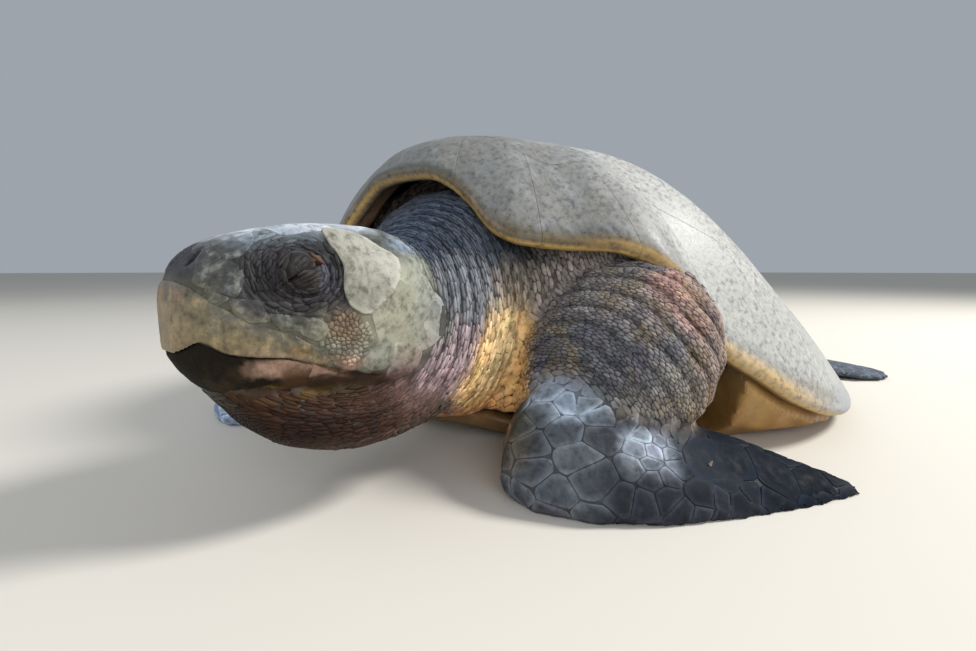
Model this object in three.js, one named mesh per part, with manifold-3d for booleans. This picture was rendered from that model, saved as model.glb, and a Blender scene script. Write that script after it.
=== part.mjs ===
// Adult female olive ridley sea turtle at life size, lying on the floor with its flippers swept back.
// Millimetres, +Z up. The head points to -Y and the animal's left side is +X. The origin lies on the
// floor under the middle of the shell, which rests there on its flat belly plate.
// Each body part is a closed swept or domed solid. Neighbours are parted by thin, even gaps.
import * as THREE from "three";
import { mergeVertices } from "three/addons/utils/BufferGeometryUtils.js";
import Module from "manifold-3d";

const wasm = await Module();
wasm.setup();

// ---------------------------------------------------------------- driving dimensions

const SHELL_TOP = 255; // highest point of the dome
const SHELL_APEX_Y = -194; // where that point stands: well forward, over the shoulders
const SHELL_THICKNESS = 9; // horn and bone at the rim
const MARGINAL_WIDTH = 44; // depth of the marginal scutes round the rim
const VERTEBRAL_COUNT = 6; // scutes along the back
const VERTEBRAL_HALF_WIDTH = 64; // at their widest corners, over the shoulders
const NUCHAL_HALF_WIDTH = 58; // the scute over the neck
const PLASTRON_THICKNESS = 12;
const GAP = 0.4; // clearance between neighbouring solids
const HEAD_LENGTH = 135; // beak tip to the back of the skull
const HEAD_TIP = new THREE.Vector2(42, -483); // the beak's front in plan
const EYE = { back: 45, out: 42, height: 141, radius: 13 }; // behind the tip, to each side, up
const CLAW = { length: 6, root: 3, radius: 2.6 }; // out of the skin, under it, at the base

const RAD = Math.PI / 180;
const UP = new THREE.Vector3(0, 0, 1);
const ACROSS = new THREE.Vector3(1, 0, 0);

// Distance of the rim from the shell's middle, by degrees from the head.
const RIM_RADIUS = [
  [0, 305], [10, 307], [20, 320], [30, 302], [42, 299], [55, 300], [70, 305], [90, 300],
  [125, 295], [150, 299], [180, 327],
];
// Height of the rim over the floor: an arch over the neck, a level stretch, a drop to the flank.
const RIM_HEIGHT = [
  [0, 215], [6, 213], [10, 203], [14, 186], [18, 164], [22, 156], [27, 154], [33, 155],
  [38, 149], [42, 135], [46, 108], [50, 77], [56, 58], [64, 35], [74, 20], [90, 12],
  [125, 15], [150, 22], [180, 30],
];
// How full the dome is between apex and rim: 1 is a cone, 2 a parabola, more is blunter.
const DOME_FULLNESS = [[0, 5.4], [20, 4.1], [40, 3.1], [60, 3.2], [90, 2.3], [130, 2.2], [180, 2.45]];

// Outlines of the head, by distance behind the beak tip.
const HEAD_TOP = [
  [0, 134], [2, 140], [9, 150], [23, 159], [45, 165], [66, 169], [100, 170], [119, 166], [135, 157],
];
const HEAD_BOTTOM = [[0, 100], [2, 97], [7, 89], [20, 77], [45, 71], [90, 65], [135, 60]];
const HEAD_HALF_WIDTH = [
  [0, 9], [3, 18], [10, 27], [22, 35], [40, 43], [60, 49], [84, 55], [104, 57], [120, 56], [135, 51],
];
const MOUTH_LINE = [
  [0, 103], [6, 110], [15, 104], [28, 101], [38, 100], [53, 94], [78, 85], [135, 79],
];
const BEAK_TOP = [[0, 141], [12, 129], [24, 119], [40, 113], [53, 104], [65, 91]];
const LOWER_BEAK_LENGTH = 56; // along the mouth
const LOWER_BEAK_SLANT = 14; // how much shorter it is under the chin

// ---------------------------------------------------------------- small helpers

const vec = (x, y, z) => new THREE.Vector3(x, y, z);

// Smooth value at t through [place, value] knots, level at the ends and without overshoot.
function through(knots, t) {
  const last = knots.length - 1;
  if (t <= knots[0][0]) return knots[0][1];
  if (t >= knots[last][0]) return knots[last][1];
  const slope = (i) => (knots[i + 1][1] - knots[i][1]) / (knots[i + 1][0] - knots[i][0]);
  const tangent = (i) => {
    if (i === 0 || i === last) return 0;
    const [a, b] = [slope(i - 1), slope(i)];
    return a * b <= 0 ? 0 : (2 * a * b) / (a + b);
  };
  let i = 0;
  while (t > knots[i + 1][0]) i += 1;
  const width = knots[i + 1][0] - knots[i][0];
  const u = (t - knots[i][0]) / width;
  const [p, q] = [knots[i][1], knots[i + 1][1]];
  const [m, n] = [tangent(i) * width, tangent(i + 1) * width];
  return (
    p * (2 * u ** 3 - 3 * u ** 2 + 1) +
    m * (u ** 3 - 2 * u ** 2 + u) +
    q * (-2 * u ** 3 + 3 * u ** 2) +
    n * (u ** 3 - u ** 2)
  );
}

// Degrees from the head, the same on both sides.
const turnOf = (angle) => Math.abs(Math.atan2(Math.sin(angle), Math.cos(angle))) / RAD;

// A ring of points round a full circle of angles.
const around = (count, place) =>
  Array.from({ length: count }, (_, i) => place((i / count) * 2 * Math.PI));

// A closed surface from rings of equally many points, with a point in the middle of each end.
function loft(rings) {
  const n = rings[0].length;
  const points = rings.flat();
  const faces = [];
  for (let j = 0; j + 1 < rings.length; j += 1)
    for (let i = 0; i < n; i += 1) {
      const [a, b] = [j * n + i, j * n + ((i + 1) % n)];
      faces.push(a, b, b + n, a, b + n, a + n);
    }
  for (const row of [0, rings.length - 1]) {
    const sum = rings[row].reduce((total, p) => total.add(p), vec(0, 0, 0));
    const tip = points.push(sum.divideScalar(n)) - 1;
    for (let i = 0; i < n; i += 1) {
      const [a, b] = [row * n + i, row * n + ((i + 1) % n)];
      if (row === 0) faces.push(tip, b, a);
      else faces.push(tip, a, b);
    }
  }
  return new THREE.BufferGeometry().setFromPoints(points).setIndex(faces);
}

// A three.js geometry as a manifold-3d solid, turned the right way out.
function solid(geometry) {
  const plain = geometry.clone();
  for (const extra of ["normal", "uv"]) plain.deleteAttribute(extra);
  const merged = mergeVertices(plain, 1e-4);
  const triVerts = new Uint32Array(merged.index.array);
  const vertProperties = new Float32Array(merged.attributes.position.array);
  const make = () => new wasm.Manifold(new wasm.Mesh({ numProp: 3, vertProperties, triVerts }));
  const made = make();
  if (made.volume() > 0) return made;
  for (let i = 0; i < triVerts.length; i += 3)
    [triVerts[i + 1], triVerts[i + 2]] = [triVerts[i + 2], triVerts[i + 1]];
  return make();
}

function geometryOf(body) {
  const mesh = body.getMesh();
  const places = new Float32Array(mesh.numVert * 3);
  for (let i = 0; i < mesh.numVert; i += 1) {
    const start = i * mesh.numProp;
    places.set(mesh.vertProperties.subarray(start, start + 3), i * 3);
  }
  const geometry = new THREE.BufferGeometry()
    .setAttribute("position", new THREE.BufferAttribute(places, 3))
    .setIndex(new THREE.BufferAttribute(mesh.triVerts, 1));
  geometry.computeVertexNormals();
  return geometry;
}

const swept = (rings) => solid(loft(rings));

// The same body with every face moved outward, used to cut a neighbour clear of it. A corner moves
// far enough for each of the faces that meet there.
function swollen(body, by = GAP) {
  const geometry = geometryOf(body);
  const { position } = geometry.attributes;
  const index = geometry.index.array;
  const corner = (i) => new THREE.Vector3().fromBufferAttribute(position, i);
  const meeting = Array.from({ length: position.count }, () => []);
  for (let i = 0; i < index.length; i += 3) {
    const face = [index[i], index[i + 1], index[i + 2]];
    const triangle = new THREE.Triangle(...face.map(corner));
    if (triangle.getArea() < 1e-3) continue;
    const normal = triangle.getNormal(new THREE.Vector3());
    for (const k of face) meeting[k].push(normal);
  }
  meeting.forEach((normals, i) => {
    const out = normals.reduce((sum, n) => sum.add(n), new THREE.Vector3()).normalize();
    const steepest = Math.min(1, ...normals.map((n) => n.dot(out)));
    const moved = corner(i).addScaledVector(out, by / Math.max(0.3, steepest));
    position.setXYZ(i, moved.x, moved.y, moved.z);
  });
  return solid(geometry);
}

const clearOf = (body, ...neighbours) =>
  neighbours.reduce((left, neighbour) => left.subtract(swollen(neighbour)), body);

// The largest piece of a body that cuts have left in several.
const mainPiece = (body) =>
  body.decompose().reduce((best, piece) => (piece.volume() > best.volume() ? piece : best));

// A box solid between two corners, used as a cutter.
function block(low, high) {
  const size = vec(0, 0, 0).subVectors(high, low);
  const middle = vec(0, 0, 0).addVectors(low, high).multiplyScalar(0.5);
  const box = new THREE.BoxGeometry(size.x, size.y, size.z);
  return solid(box.translate(middle.x, middle.y, middle.z));
}

const FAR = 900;
const aboveFloor = (body, floor = 0) => body.intersect(block(vec(-FAR, -FAR, floor), vec(FAR, FAR, FAR)));
const onSide = (body, side, clear = GAP / 2) =>
  side > 0
    ? body.intersect(block(vec(clear, -FAR, -FAR), vec(FAR, FAR, FAR)))
    : body.intersect(block(vec(-FAR, -FAR, -FAR), vec(-clear, FAR, FAR)));

// ---------------------------------------------------------------- carapace

const rimRadius = (angle) => through(RIM_RADIUS, turnOf(angle));
const rimHeight = (angle) => through(RIM_HEIGHT, turnOf(angle));

// A point of the dome on the line from the apex (share 0) to the rim (share 1).
function domePoint(angle, share, drop = 0) {
  const r = rimRadius(angle);
  const rim = rimHeight(angle);
  const fullness = through(DOME_FULLNESS, turnOf(angle));
  return vec(
    r * Math.sin(angle) * share,
    SHELL_APEX_Y + (-r * Math.cos(angle) - SHELL_APEX_Y) * share,
    rim + (SHELL_TOP - rim) * (1 - Math.min(1, share) ** fullness) - drop,
  );
}

// The carapace as one shell: the dome outside, and the same dome set in by the shell's thickness.
function carapaceSolid() {
  const segments = 48;
  const inset = 1 - SHELL_THICKNESS / rimRadius(Math.PI / 2);
  const outer = [0.28, 0.5, 0.68, 0.82, 0.93, 1].map((s) => around(segments, (a) => domePoint(a, s)));
  const inner = [1, 0.78, 0.4].map((s) =>
    around(segments, (a) => domePoint(a, s * inset, SHELL_THICKNESS * (1.5 - 0.5 * s))),
  );
  return swept([...outer, ...inner]);
}

// An upright wall solid over an outline in plan.
const prism = (outline) =>
  solid(new THREE.ExtrudeGeometry(new THREE.Shape(outline), { depth: 2 * FAR, bevelEnabled: false })
    .translate(0, 0, -FAR));

// Outline of the field inside the marginal scutes, grown by a margin.
const fieldOutline = (margin) =>
  around(32, (angle) => {
    const r = rimRadius(angle) - MARGINAL_WIDTH + margin;
    return new THREE.Vector2(r * Math.sin(angle), -r * Math.cos(angle));
  });

// Outline of the vertebral row: hexagons end to end that narrow toward the tail. It runs a little
// way into the marginal scutes, so that the field's own edge ends it.
function vertebralOutline(margin) {
  const [overrun, waist, taper] = [3, 0.62, 0.45];
  const front = -(rimRadius(0) - MARGINAL_WIDTH) - overrun;
  const step = (rimRadius(Math.PI) - MARGINAL_WIDTH + overrun - front) / VERTEBRAL_COUNT;
  const side = [];
  for (let i = 0; i <= VERTEBRAL_COUNT; i += 1) {
    const widest = VERTEBRAL_HALF_WIDTH * (1 - taper * (i / VERTEBRAL_COUNT) ** 2);
    side.push(new THREE.Vector2(waist * widest + margin, front + i * step));
    if (i < VERTEBRAL_COUNT) side.push(new THREE.Vector2(widest + margin, front + (i + 0.5) * step));
  }
  return [...side, ...side.map((p) => new THREE.Vector2(-p.x, p.y)).reverse()];
}

// The rows of scutes, parted by thin upright cuts.
function carapaceParts(carapace) {
  const half = GAP / 2;
  const field = (margin) => prism(fieldOutline(margin));
  const vertebral = (margin) => prism(vertebralOutline(margin));
  const costals = carapace.intersect(field(-half)).subtract(vertebral(half));
  const marginals = carapace.subtract(field(half));
  const nuchalZone = (margin) => {
    const reach = NUCHAL_HALF_WIDTH + margin;
    return block(vec(-reach, -FAR, -FAR), vec(reach, 0, FAR));
  };
  const sides = marginals.subtract(nuchalZone(half));
  return {
    nuchal_scute: marginals.intersect(nuchalZone(-half)),
    vertebral_scutes: carapace.intersect(field(-half)).intersect(vertebral(-half)),
    costal_scutes_left: onSide(costals, 1),
    costal_scutes_right: onSide(costals, -1),
    marginal_scutes_left: onSide(sides, 1),
    marginal_scutes_right: onSide(sides, -1),
  };
}

// ---------------------------------------------------------------- belly shell and trunk

const PLASTRON_LIFT = [[-285, 24], [-225, 6], [-180, 0], [170, 0], [255, 10]];
const PLASTRON_HALF_WIDTH = [
  [-284, 22], [-262, 78], [-215, 130], [-150, 176], [-90, 204], [-20, 225], [40, 222], [90, 203],
  [130, 174], [205, 104], [256, 32],
];

// The belly plate: flat where it bears the weight, turned up a little at the throat and tail.
function plastronSolid() {
  const [front, rear, stations, half] = [-284, 256, 12, 5];
  const rings = [];
  for (let j = 0; j <= stations; j += 1) {
    const y = front + ((rear - front) * j) / stations;
    const width = through(PLASTRON_HALF_WIDTH, y);
    const lift = through(PLASTRON_LIFT, y);
    const row = Array.from({ length: half + 1 }, (_, i) => -1 + (2 * i) / half);
    const below = row.map((u) => vec(width * u, y, lift + 7 * Math.abs(u) ** 8));
    const above = row.map((u) => vec(width * u, y, lift + PLASTRON_THICKNESS)).reverse();
    rings.push([...below, ...above]);
  }
  return swept(rings);
}

// The bridge: the wall of inframarginal plates between the rim and the belly plate, by degrees
// from the head.
function bridgeSolid(side) {
  const [from, to, stations] = [55, 128, 9];
  const rings = [];
  for (let j = 0; j <= stations; j += 1) {
    const angle = side * (from + ((to - from) * j) / stations) * RAD;
    const rim = rimHeight(angle);
    const section = [
      // inward from the rim, height
      [13, Math.max(6, rim - SHELL_THICKNESS * 0.9)],
      [26, Math.max(2, rim * 0.3)],
      [48, 0],
      [86, 0],
      [86, PLASTRON_THICKNESS + 8],
      [60, PLASTRON_THICKNESS + 12 + rim * 0.25],
      [30, rim + 12],
      [17, rim + 3],
    ];
    rings.push(
      section.map(([inward, z]) => {
        const r = rimRadius(angle) - inward;
        return vec(r * Math.sin(angle), -r * Math.cos(angle), z);
      }),
    );
  }
  return swept(rings);
}

// How far the soft trunk fills the shell, low down and high up, as a share of the way to the rim.
const TRUNK_LOW = [
  [0, 0.88], [30, 0.92], [44, 0.9], [53, 0.62], [60, 0.64], [72, 0.86], [140, 0.86], [180, 0.93],
];
const TRUNK_HIGH = [
  [0, 0.42], [18, 0.5], [34, 0.9], [46, 0.88], [56, 0.74], [72, 0.87], [140, 0.87], [180, 0.92],
];
const TRUNK_CLEARANCE = 21; // between the top of the trunk and the top of the shell

// The soft trunk between the carapace and the belly plate, with its wall swelling a little outward.
function trunkSolid() {
  const segments = 28;
  const overPlastron = 3;
  const ring = (share, height, bulge = 0) =>
    around(segments, (angle) => {
      const turn = turnOf(angle);
      const low = domePoint(angle, through(TRUNK_LOW, turn) * share);
      low.z = through(PLASTRON_LIFT, low.y) + PLASTRON_THICKNESS + overPlastron;
      const high = domePoint(angle, through(TRUNK_HIGH, turn) * share, TRUNK_CLEARANCE);
      return low.lerp(high, height).add(vec(bulge * Math.sin(angle), -bulge * Math.cos(angle), 0));
    });
  return swept([
    ring(0.4, 0), ring(0.94, 0), ring(1, 0.22, 4), ring(1, 0.6, 4), ring(0.97, 1), ring(0.4, 1),
  ]);
}

// ---------------------------------------------------------------- head and neck

// A closed oval ring: squareness below 1 squares it, and the lower half may be deeper.
function ovalRing(centre, across, up, halfWidth, halfUp, halfDown, segments = 20, squareness = 0.92) {
  return around(segments, (t) => {
    const bend = (value) => Math.sign(value) * Math.abs(value) ** squareness;
    const rise = (Math.sin(t) > 0 ? halfUp : halfDown) * bend(Math.sin(t));
    return centre.clone().addScaledVector(across, halfWidth * bend(Math.cos(t))).addScaledVector(up, rise);
  });
}

const HEAD_STATIONS = [0, 2, 5, 10, 17, 26, 38, 52, 68, 86, 104, 120, HEAD_LENGTH];

// The whole head, beak and jaw included.
function headSolid() {
  const rings = HEAD_STATIONS.map((back) => {
    const [top, bottom, width] = [HEAD_TOP, HEAD_BOTTOM, HEAD_HALF_WIDTH].map((k) => through(k, back));
    const middle = (top + bottom) / 2;
    const centre = vec(HEAD_TIP.x, HEAD_TIP.y + back, middle);
    return ovalRing(centre, ACROSS, UP, width, top - middle, middle - bottom, 22, 0.76);
  });
  return swept(rings);
}

// A wall solid through the head, over an outline of [distance behind the tip, height] points.
function sideWall(outline) {
  const shape = new THREE.Shape(outline.map(([back, z]) => new THREE.Vector2(HEAD_TIP.y + back, z)));
  const wall = new THREE.ExtrudeGeometry(shape, { depth: 2 * FAR, bevelEnabled: false });
  return solid(wall.translate(0, 0, -FAR).rotateX(Math.PI / 2).rotateZ(Math.PI / 2));
}

const MOUTH_STATIONS = [0, 3, 6, 10, 15, 20, 28, 38, 46, 54, 66, 78, 100, HEAD_LENGTH];
const mouthPoints = (lift) => [
  [-20, through(MOUTH_LINE, 0) + lift],
  ...MOUTH_STATIONS.map((back) => [back, through(MOUTH_LINE, back) + lift]),
  [HEAD_LENGTH + 20, through(MOUTH_LINE, HEAD_LENGTH) + lift],
];
const aboveMouth = (lift) => sideWall([...mouthPoints(lift), [HEAD_LENGTH + 20, 300], [-20, 300]]);
const belowBeakTop = (lift) =>
  sideWall([
    [-20, through(BEAK_TOP, 0) + lift],
    ...BEAK_TOP.map(([back, z]) => [back + lift, z + lift]),
    [65 + lift, 0],
    [-20, 0],
  ]);
const lowerBeakZone = (margin) =>
  sideWall([
    [-20, 0],
    [LOWER_BEAK_LENGTH - LOWER_BEAK_SLANT + margin, 0],
    [LOWER_BEAK_LENGTH + margin, 140],
    [-20, 140],
  ]);

// The eyeball under its closed lids: a flattened mound, sunk a little way into the head.
const eyeSolid = (side) => {
  const sunk = 3;
  const ball = new THREE.SphereGeometry(EYE.radius, 10, 7).scale(0.62, 1, 0.86);
  const x = HEAD_TIP.x + side * (EYE.out - sunk);
  return solid(ball.translate(x, HEAD_TIP.y + EYE.back, EYE.height));
};

function headParts(head, eyes) {
  const half = GAP / 2;
  const socketed = clearOf(head, ...eyes);
  const upper = socketed.intersect(aboveMouth(half));
  const lower = socketed.subtract(aboveMouth(-half));
  return {
    head: upper.subtract(belowBeakTop(half)),
    upper_beak: mainPiece(upper.intersect(belowBeakTop(-half))),
    lower_beak: lower.intersect(lowerBeakZone(-half)),
    lower_jaw: lower.subtract(lowerBeakZone(half)),
  };
}

// The loose skin slung under the jaw, by stations behind the beak tip.
function throatSolid() {
  const [overlap, sideways] = [14, 1];
  const stations = [
    // distance behind the tip, bottom, half width
    [12, 84, 8], [20, 73, 21], [32, 58, 33], [46, 46, 42], [62, 39, 48], [80, 36, 52], [98, 36, 54],
    [116, 40, 55], [132, 43, 55],
  ];
  return swept(
    stations.map(([back, bottom, width]) => {
      const top = through(HEAD_BOTTOM, back) + overlap;
      const centre = vec(HEAD_TIP.x + sideways, HEAD_TIP.y + back, (top + bottom) / 2);
      return ovalRing(centre, ACROSS, UP, width, (top - bottom) / 2, (top - bottom) / 2, 14, 0.85);
    }),
  );
}

// The neck: loose skin that widens from the back of the skull and climbs to the arch of the shell.
function neckSolid() {
  const stations = [
    // y, x, bottom, top, half width
    [-369, 42, 43, 154, 52],
    [-358, 41, 40, 160, 59],
    [-342, 39, 38, 166, 66],
    [-325, 34, 33, 181, 72],
    [-305, 28, 28, 197, 78],
    [-282, 20, 25, 207, 84],
    [-242, 10, 26, 212, 88],
    [-205, 0, 26, 200, 84],
  ];
  return swept(
    stations.map(([y, x, bottom, top, width]) => {
      const centre = vec(x, y, (top + bottom) / 2);
      return ovalRing(centre, ACROSS, UP, width, (top - bottom) / 2, (top - bottom) / 2, 18, 0.9);
    }),
  );
}

// ---------------------------------------------------------------- limbs

// Sweeps a flat limb through stations of its lower edge, its upper edge and its half thickness.
function paddleSolid(stations, segments = 12) {
  const middles = stations.map(([low, high]) => low.clone().add(high).multiplyScalar(0.5));
  const rings = stations.map(([low, high, halfThickness], i) => {
    const before = middles[Math.max(0, i - 1)];
    const after = middles[Math.min(stations.length - 1, i + 1)];
    const along = after.clone().sub(before).normalize();
    const width = high.clone().sub(low);
    const across = width.clone().addScaledVector(along, -width.dot(along)).normalize();
    const out = vec(0, 0, 0).crossVectors(across, along).normalize();
    const halfWidth = width.length() / 2;
    return ovalRing(middles[i], across, out, halfWidth, halfThickness, halfThickness, segments, 0.96);
  });
  return swept(rings);
}

// The left front flipper, from the elbow to the tip: it stands on its leading edge and leans on the body.
const LEFT_FLIPPER = [
  [vec(128, -319, 20), vec(118, -287, 52), 14],
  [vec(141, -336, 3), vec(127, -275, 70), 25],
  [vec(159, -339, -3), vec(147, -266, 68), 28],
  [vec(184, -331, -3), vec(172, -258, 58), 26],
  [vec(212, -312, -3), vec(196, -246, 47), 19],
  [vec(236, -288, -2), vec(217, -226, 34), 14],
  [vec(256, -259, -2), vec(248, -202, 22), 11],
  [vec(275, -235, -1), vec(269, -192, 14), 8],
  [vec(291, -210, -1), vec(292, -187, 8), 5.5],
  [vec(304, -190, 0.5), vec(307, -186, 3), 2.5],
];
const WRIST = 3; // the station where the forearm ends and the blade begins

// The right one is the left one mirrored: further forward, splayed a little, and lower.
const RIGHT_REACH = { forwardAtElbow: 60, forwardAtTip: 26, outAtTip: 18, lowering: 0.86 };
function flipperStations(side) {
  if (side > 0) return LEFT_FLIPPER;
  const moved = (p, i) => {
    const { forwardAtElbow, forwardAtTip, outAtTip, lowering } = RIGHT_REACH;
    const share = i / (LEFT_FLIPPER.length - 1);
    const forward = forwardAtElbow + (forwardAtTip - forwardAtElbow) * share;
    return vec(-(p.x + outAtTip * share), p.y - forward, p.z * lowering);
  };
  return LEFT_FLIPPER.map(([low, high, thick], i) => [moved(low, i), moved(high, i), thick]);
}

// Parts a limb in two across the middle of one of its stations.
function partedAt(body, stations, index) {
  const middle = (i) => stations[i][0].clone().add(stations[i][1]).multiplyScalar(0.5);
  const along = middle(index + 1).sub(middle(index - 1)).normalize();
  const turn = new THREE.Quaternion().setFromUnitVectors(ACROSS, along);
  const half = (direction) => {
    const box = new THREE.BoxGeometry(FAR, FAR, FAR).translate(direction * (FAR / 2 + GAP / 2), 0, 0);
    const at = middle(index);
    return solid(box.applyQuaternion(turn).translate(at.x, at.y, at.z));
  };
  return [mainPiece(body.intersect(half(-1))), mainPiece(body.intersect(half(1)))];
}

// The upper arm with the shoulder: a full, loose-skinned mass in the hollow of the shell. The right
// one is drawn further forward, with its flipper.
function upperArmSolid(side) {
  const forward = side > 0 ? 0 : -0.5 * RIGHT_REACH.forwardAtElbow;
  const stations = [
    // centre, half width, half height
    [vec(120, -150, 92), 56, 56],
    [vec(150, -186, 90), 66, 66],
    [vec(160, -220, 86), 70, 68],
    [vec(163, -250 + forward * 0.5, 80), 67, 64],
    [vec(158, -278 + forward, 72), 54, 46],
    [vec(152, -296 + forward, 62), 32, 28],
  ];
  return swept(
    stations.map(([centre, width, height]) =>
      ovalRing(vec(side * centre.x, centre.y, centre.z), ACROSS, UP, width, height, height, 14, 0.96),
    ),
  );
}

// The hind limb: a thigh under the rear of the shell and a broad paddle spread to the side.
function hindStations(side) {
  const at = (x, y, z) => vec(side * x, y, z);
  return [
    [at(110, 245, 34), at(128, 150, 46), 32],
    [at(160, 262, 26), at(168, 152, 38), 28],
    [at(206, 266, 16), at(208, 160, 26), 20],
    [at(240, 274, 8), at(240, 168, 15), 12],
    [at(272, 286, 5), at(270, 176, 11), 8],
    [at(300, 292, 3), at(300, 186, 7), 6],
    [at(324, 284, 2), at(324, 202, 5), 4],
    [at(336, 262, 2), at(336, 226, 3), 2.5],
  ];
}
const ANKLE = 3;

function tailSolid() {
  const stations = [
    // y, z, half width, half height
    [215, 40, 42, 28],
    [262, 33, 32, 23],
    [298, 24, 22, 17],
    [326, 16, 13, 12],
    [342, 11, 5, 6],
  ];
  return swept(
    stations.map(([y, z, width, height]) => ovalRing(vec(0, y, z), ACROSS, UP, width, height, height, 12)),
  );
}

// A short blunt claw that stands out of the middle of the blade's outer face.
function clawSolid(stations) {
  const [station, height] = [5, 0.45]; // which station it stands at, and how far up the blade
  const [low, high, halfThickness] = stations[station];
  const along = stations[station + 1][0].clone().sub(stations[station - 1][0]).normalize();
  const across = high.clone().sub(low).normalize();
  const out = vec(0, 0, 0).crossVectors(across, along);
  if (out.y > 0) out.negate();
  const { length, root, radius } = CLAW;
  const lift = halfThickness + (length - root) / 2;
  const place = low.clone().lerp(high, height).addScaledVector(out, lift);
  const cone = new THREE.ConeGeometry(radius, length + root, 10, 1);
  cone.applyQuaternion(new THREE.Quaternion().setFromUnitVectors(vec(0, 1, 0), out));
  return solid(cone.translate(place.x, place.y, place.z));
}

// ---------------------------------------------------------------- assembly

const SIDES = [["left", 1], ["right", -1]];

const shape = {
  carapace: carapaceSolid(),
  plastron: plastronSolid(),
  head: headSolid(),
  throat: throatSolid(),
  neck: neckSolid(),
  trunk: trunkSolid(),
  tail: aboveFloor(tailSolid()),
  bridges: SIDES.map(([, side]) => bridgeSolid(side)),
  eyes: SIDES.map(([, side]) => eyeSolid(side)),
  arms: SIDES.map(([, side]) => upperArmSolid(side)),
};
const shell = [shape.carapace, shape.plastron, ...shape.bridges];

const solids = {
  ...carapaceParts(shape.carapace),
  plastron: clearOf(shape.plastron, ...shape.bridges),
  ...headParts(shape.head, shape.eyes),
  throat: mainPiece(clearOf(shape.throat, shape.head, shape.neck)),
  neck: mainPiece(clearOf(shape.neck, shape.head, shape.trunk, shape.carapace, shape.plastron)),
  trunk: mainPiece(clearOf(shape.trunk, ...shape.bridges)),
  tail: mainPiece(clearOf(shape.tail, shape.trunk, shape.carapace, shape.plastron)),
};
SIDES.forEach(([name, side], i) => {
  const [bridge, arm] = [shape.bridges[i], shape.arms[i]];
  const front = flipperStations(side);
  const paddle = aboveFloor(paddleSolid(front));
  const limb = mainPiece(clearOf(paddle, arm, shape.trunk, ...shell));
  const [forearm, blade] = partedAt(limb, front, WRIST);
  const claw = clawSolid(front);
  const hind = hindStations(side);
  const leg = aboveFloor(paddleSolid(hind));
  const [thigh, foot] = partedAt(mainPiece(clearOf(leg, shape.trunk, ...shell)), hind, ANKLE);
  Object.assign(solids, {
    [`bridge_${name}`]: clearOf(bridge, shape.carapace),
    [`eye_${name}`]: shape.eyes[i],
    [`upper_arm_${name}`]: mainPiece(clearOf(arm, shape.neck, shape.trunk, ...shell)),
    [`forearm_${name}`]: forearm,
    [`front_flipper_${name}`]: clearOf(blade, claw),
    [`claw_${name}`]: claw,
    [`thigh_${name}`]: thigh,
    [`hind_flipper_${name}`]: foot,
  });
});

// Finishes by kind of surface: colour and roughness.
const FINISHES = {
  worn_horn: [0x8f8d84, 0.6],
  belly_plate: [0xc9a765, 0.65],
  scaly_skin: [0x67696b, 0.62],
  loose_skin: [0x6f6662, 0.75],
  beak_horn: [0x9a8763, 0.5],
  eye: [0x17130f, 0.15],
};
const finishOf = (name) => {
  if (/scute/.test(name)) return FINISHES.worn_horn;
  if (/plastron|bridge/.test(name)) return FINISHES.belly_plate;
  if (/beak|claw/.test(name)) return FINISHES.beak_horn;
  if (/eye/.test(name)) return FINISHES.eye;
  return /neck|throat|trunk|arm|thigh|tail/.test(name) ? FINISHES.loose_skin : FINISHES.scaly_skin;
};

const turtle = new THREE.Group();
for (const [name, body] of Object.entries(solids)) {
  const [color, roughness] = finishOf(name);
  const mesh = new THREE.Mesh(
    geometryOf(body),
    new THREE.MeshStandardMaterial({ color, roughness, metalness: 0 }),
  );
  mesh.name = name;
  turtle.add(mesh);
}

export default turtle;
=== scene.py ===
"""Life-size still model of an adult olive ridley sea turtle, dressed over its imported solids.

Metres, +Z up, the head towards -Y and the animal's left side towards +X. One skin is worked up from
the solids of flesh, scales are laid over it, and horn plates, beaks, eyes and claws stay separate.
"""

import logging
import math
from dataclasses import dataclass, field, replace
from enum import Enum
from typing import Callable, Sequence

import bpy
import numpy as np
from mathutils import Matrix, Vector
from mathutils.bvhtree import BVHTree
from mathutils.kdtree import KDTree


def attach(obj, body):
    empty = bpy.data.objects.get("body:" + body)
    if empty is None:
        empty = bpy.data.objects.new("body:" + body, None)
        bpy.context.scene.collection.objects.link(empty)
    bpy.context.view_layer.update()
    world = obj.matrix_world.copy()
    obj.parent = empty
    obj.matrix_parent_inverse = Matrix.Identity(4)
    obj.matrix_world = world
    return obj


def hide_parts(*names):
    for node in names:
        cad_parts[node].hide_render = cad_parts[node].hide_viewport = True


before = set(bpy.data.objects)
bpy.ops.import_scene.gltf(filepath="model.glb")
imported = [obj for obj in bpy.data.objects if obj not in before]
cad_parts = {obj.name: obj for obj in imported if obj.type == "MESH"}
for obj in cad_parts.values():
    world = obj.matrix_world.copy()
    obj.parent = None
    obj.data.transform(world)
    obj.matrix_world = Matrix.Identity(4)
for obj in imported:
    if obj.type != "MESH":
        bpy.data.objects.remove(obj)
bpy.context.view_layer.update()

Array = np.ndarray
MM = 0.001
LOG = logging.getLogger("sea_turtle")


class Side(Enum):
    """The animal's own left or right."""

    LEFT = 1
    RIGHT = -1

    @property
    def word(self) -> str:
        """The side as it stands in node names."""
        return self.name.lower()


class Slot(Enum):
    """The record's material slots."""

    SHELL = "shell_horn"
    BELLY = "belly_plate"
    SKIN = "skin"
    BEAK = "beak_horn"
    EYE = "eye"
    CLAW = "claw_horn"


# ---------------------------------------------------------------- numbers and colours


def unit(rows: Array) -> Array:
    """Vectors scaled to length one, along the last axis."""
    return rows / np.maximum(np.linalg.norm(rows, axis=-1, keepdims=True), 1e-12)


def rise(value: Array, low: float, high: float) -> Array:
    """Smooth step from 0 at low to 1 at high."""
    t = np.clip((value - low) / (high - low), 0.0, 1.0)
    return t * t * (3 - 2 * t)


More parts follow.
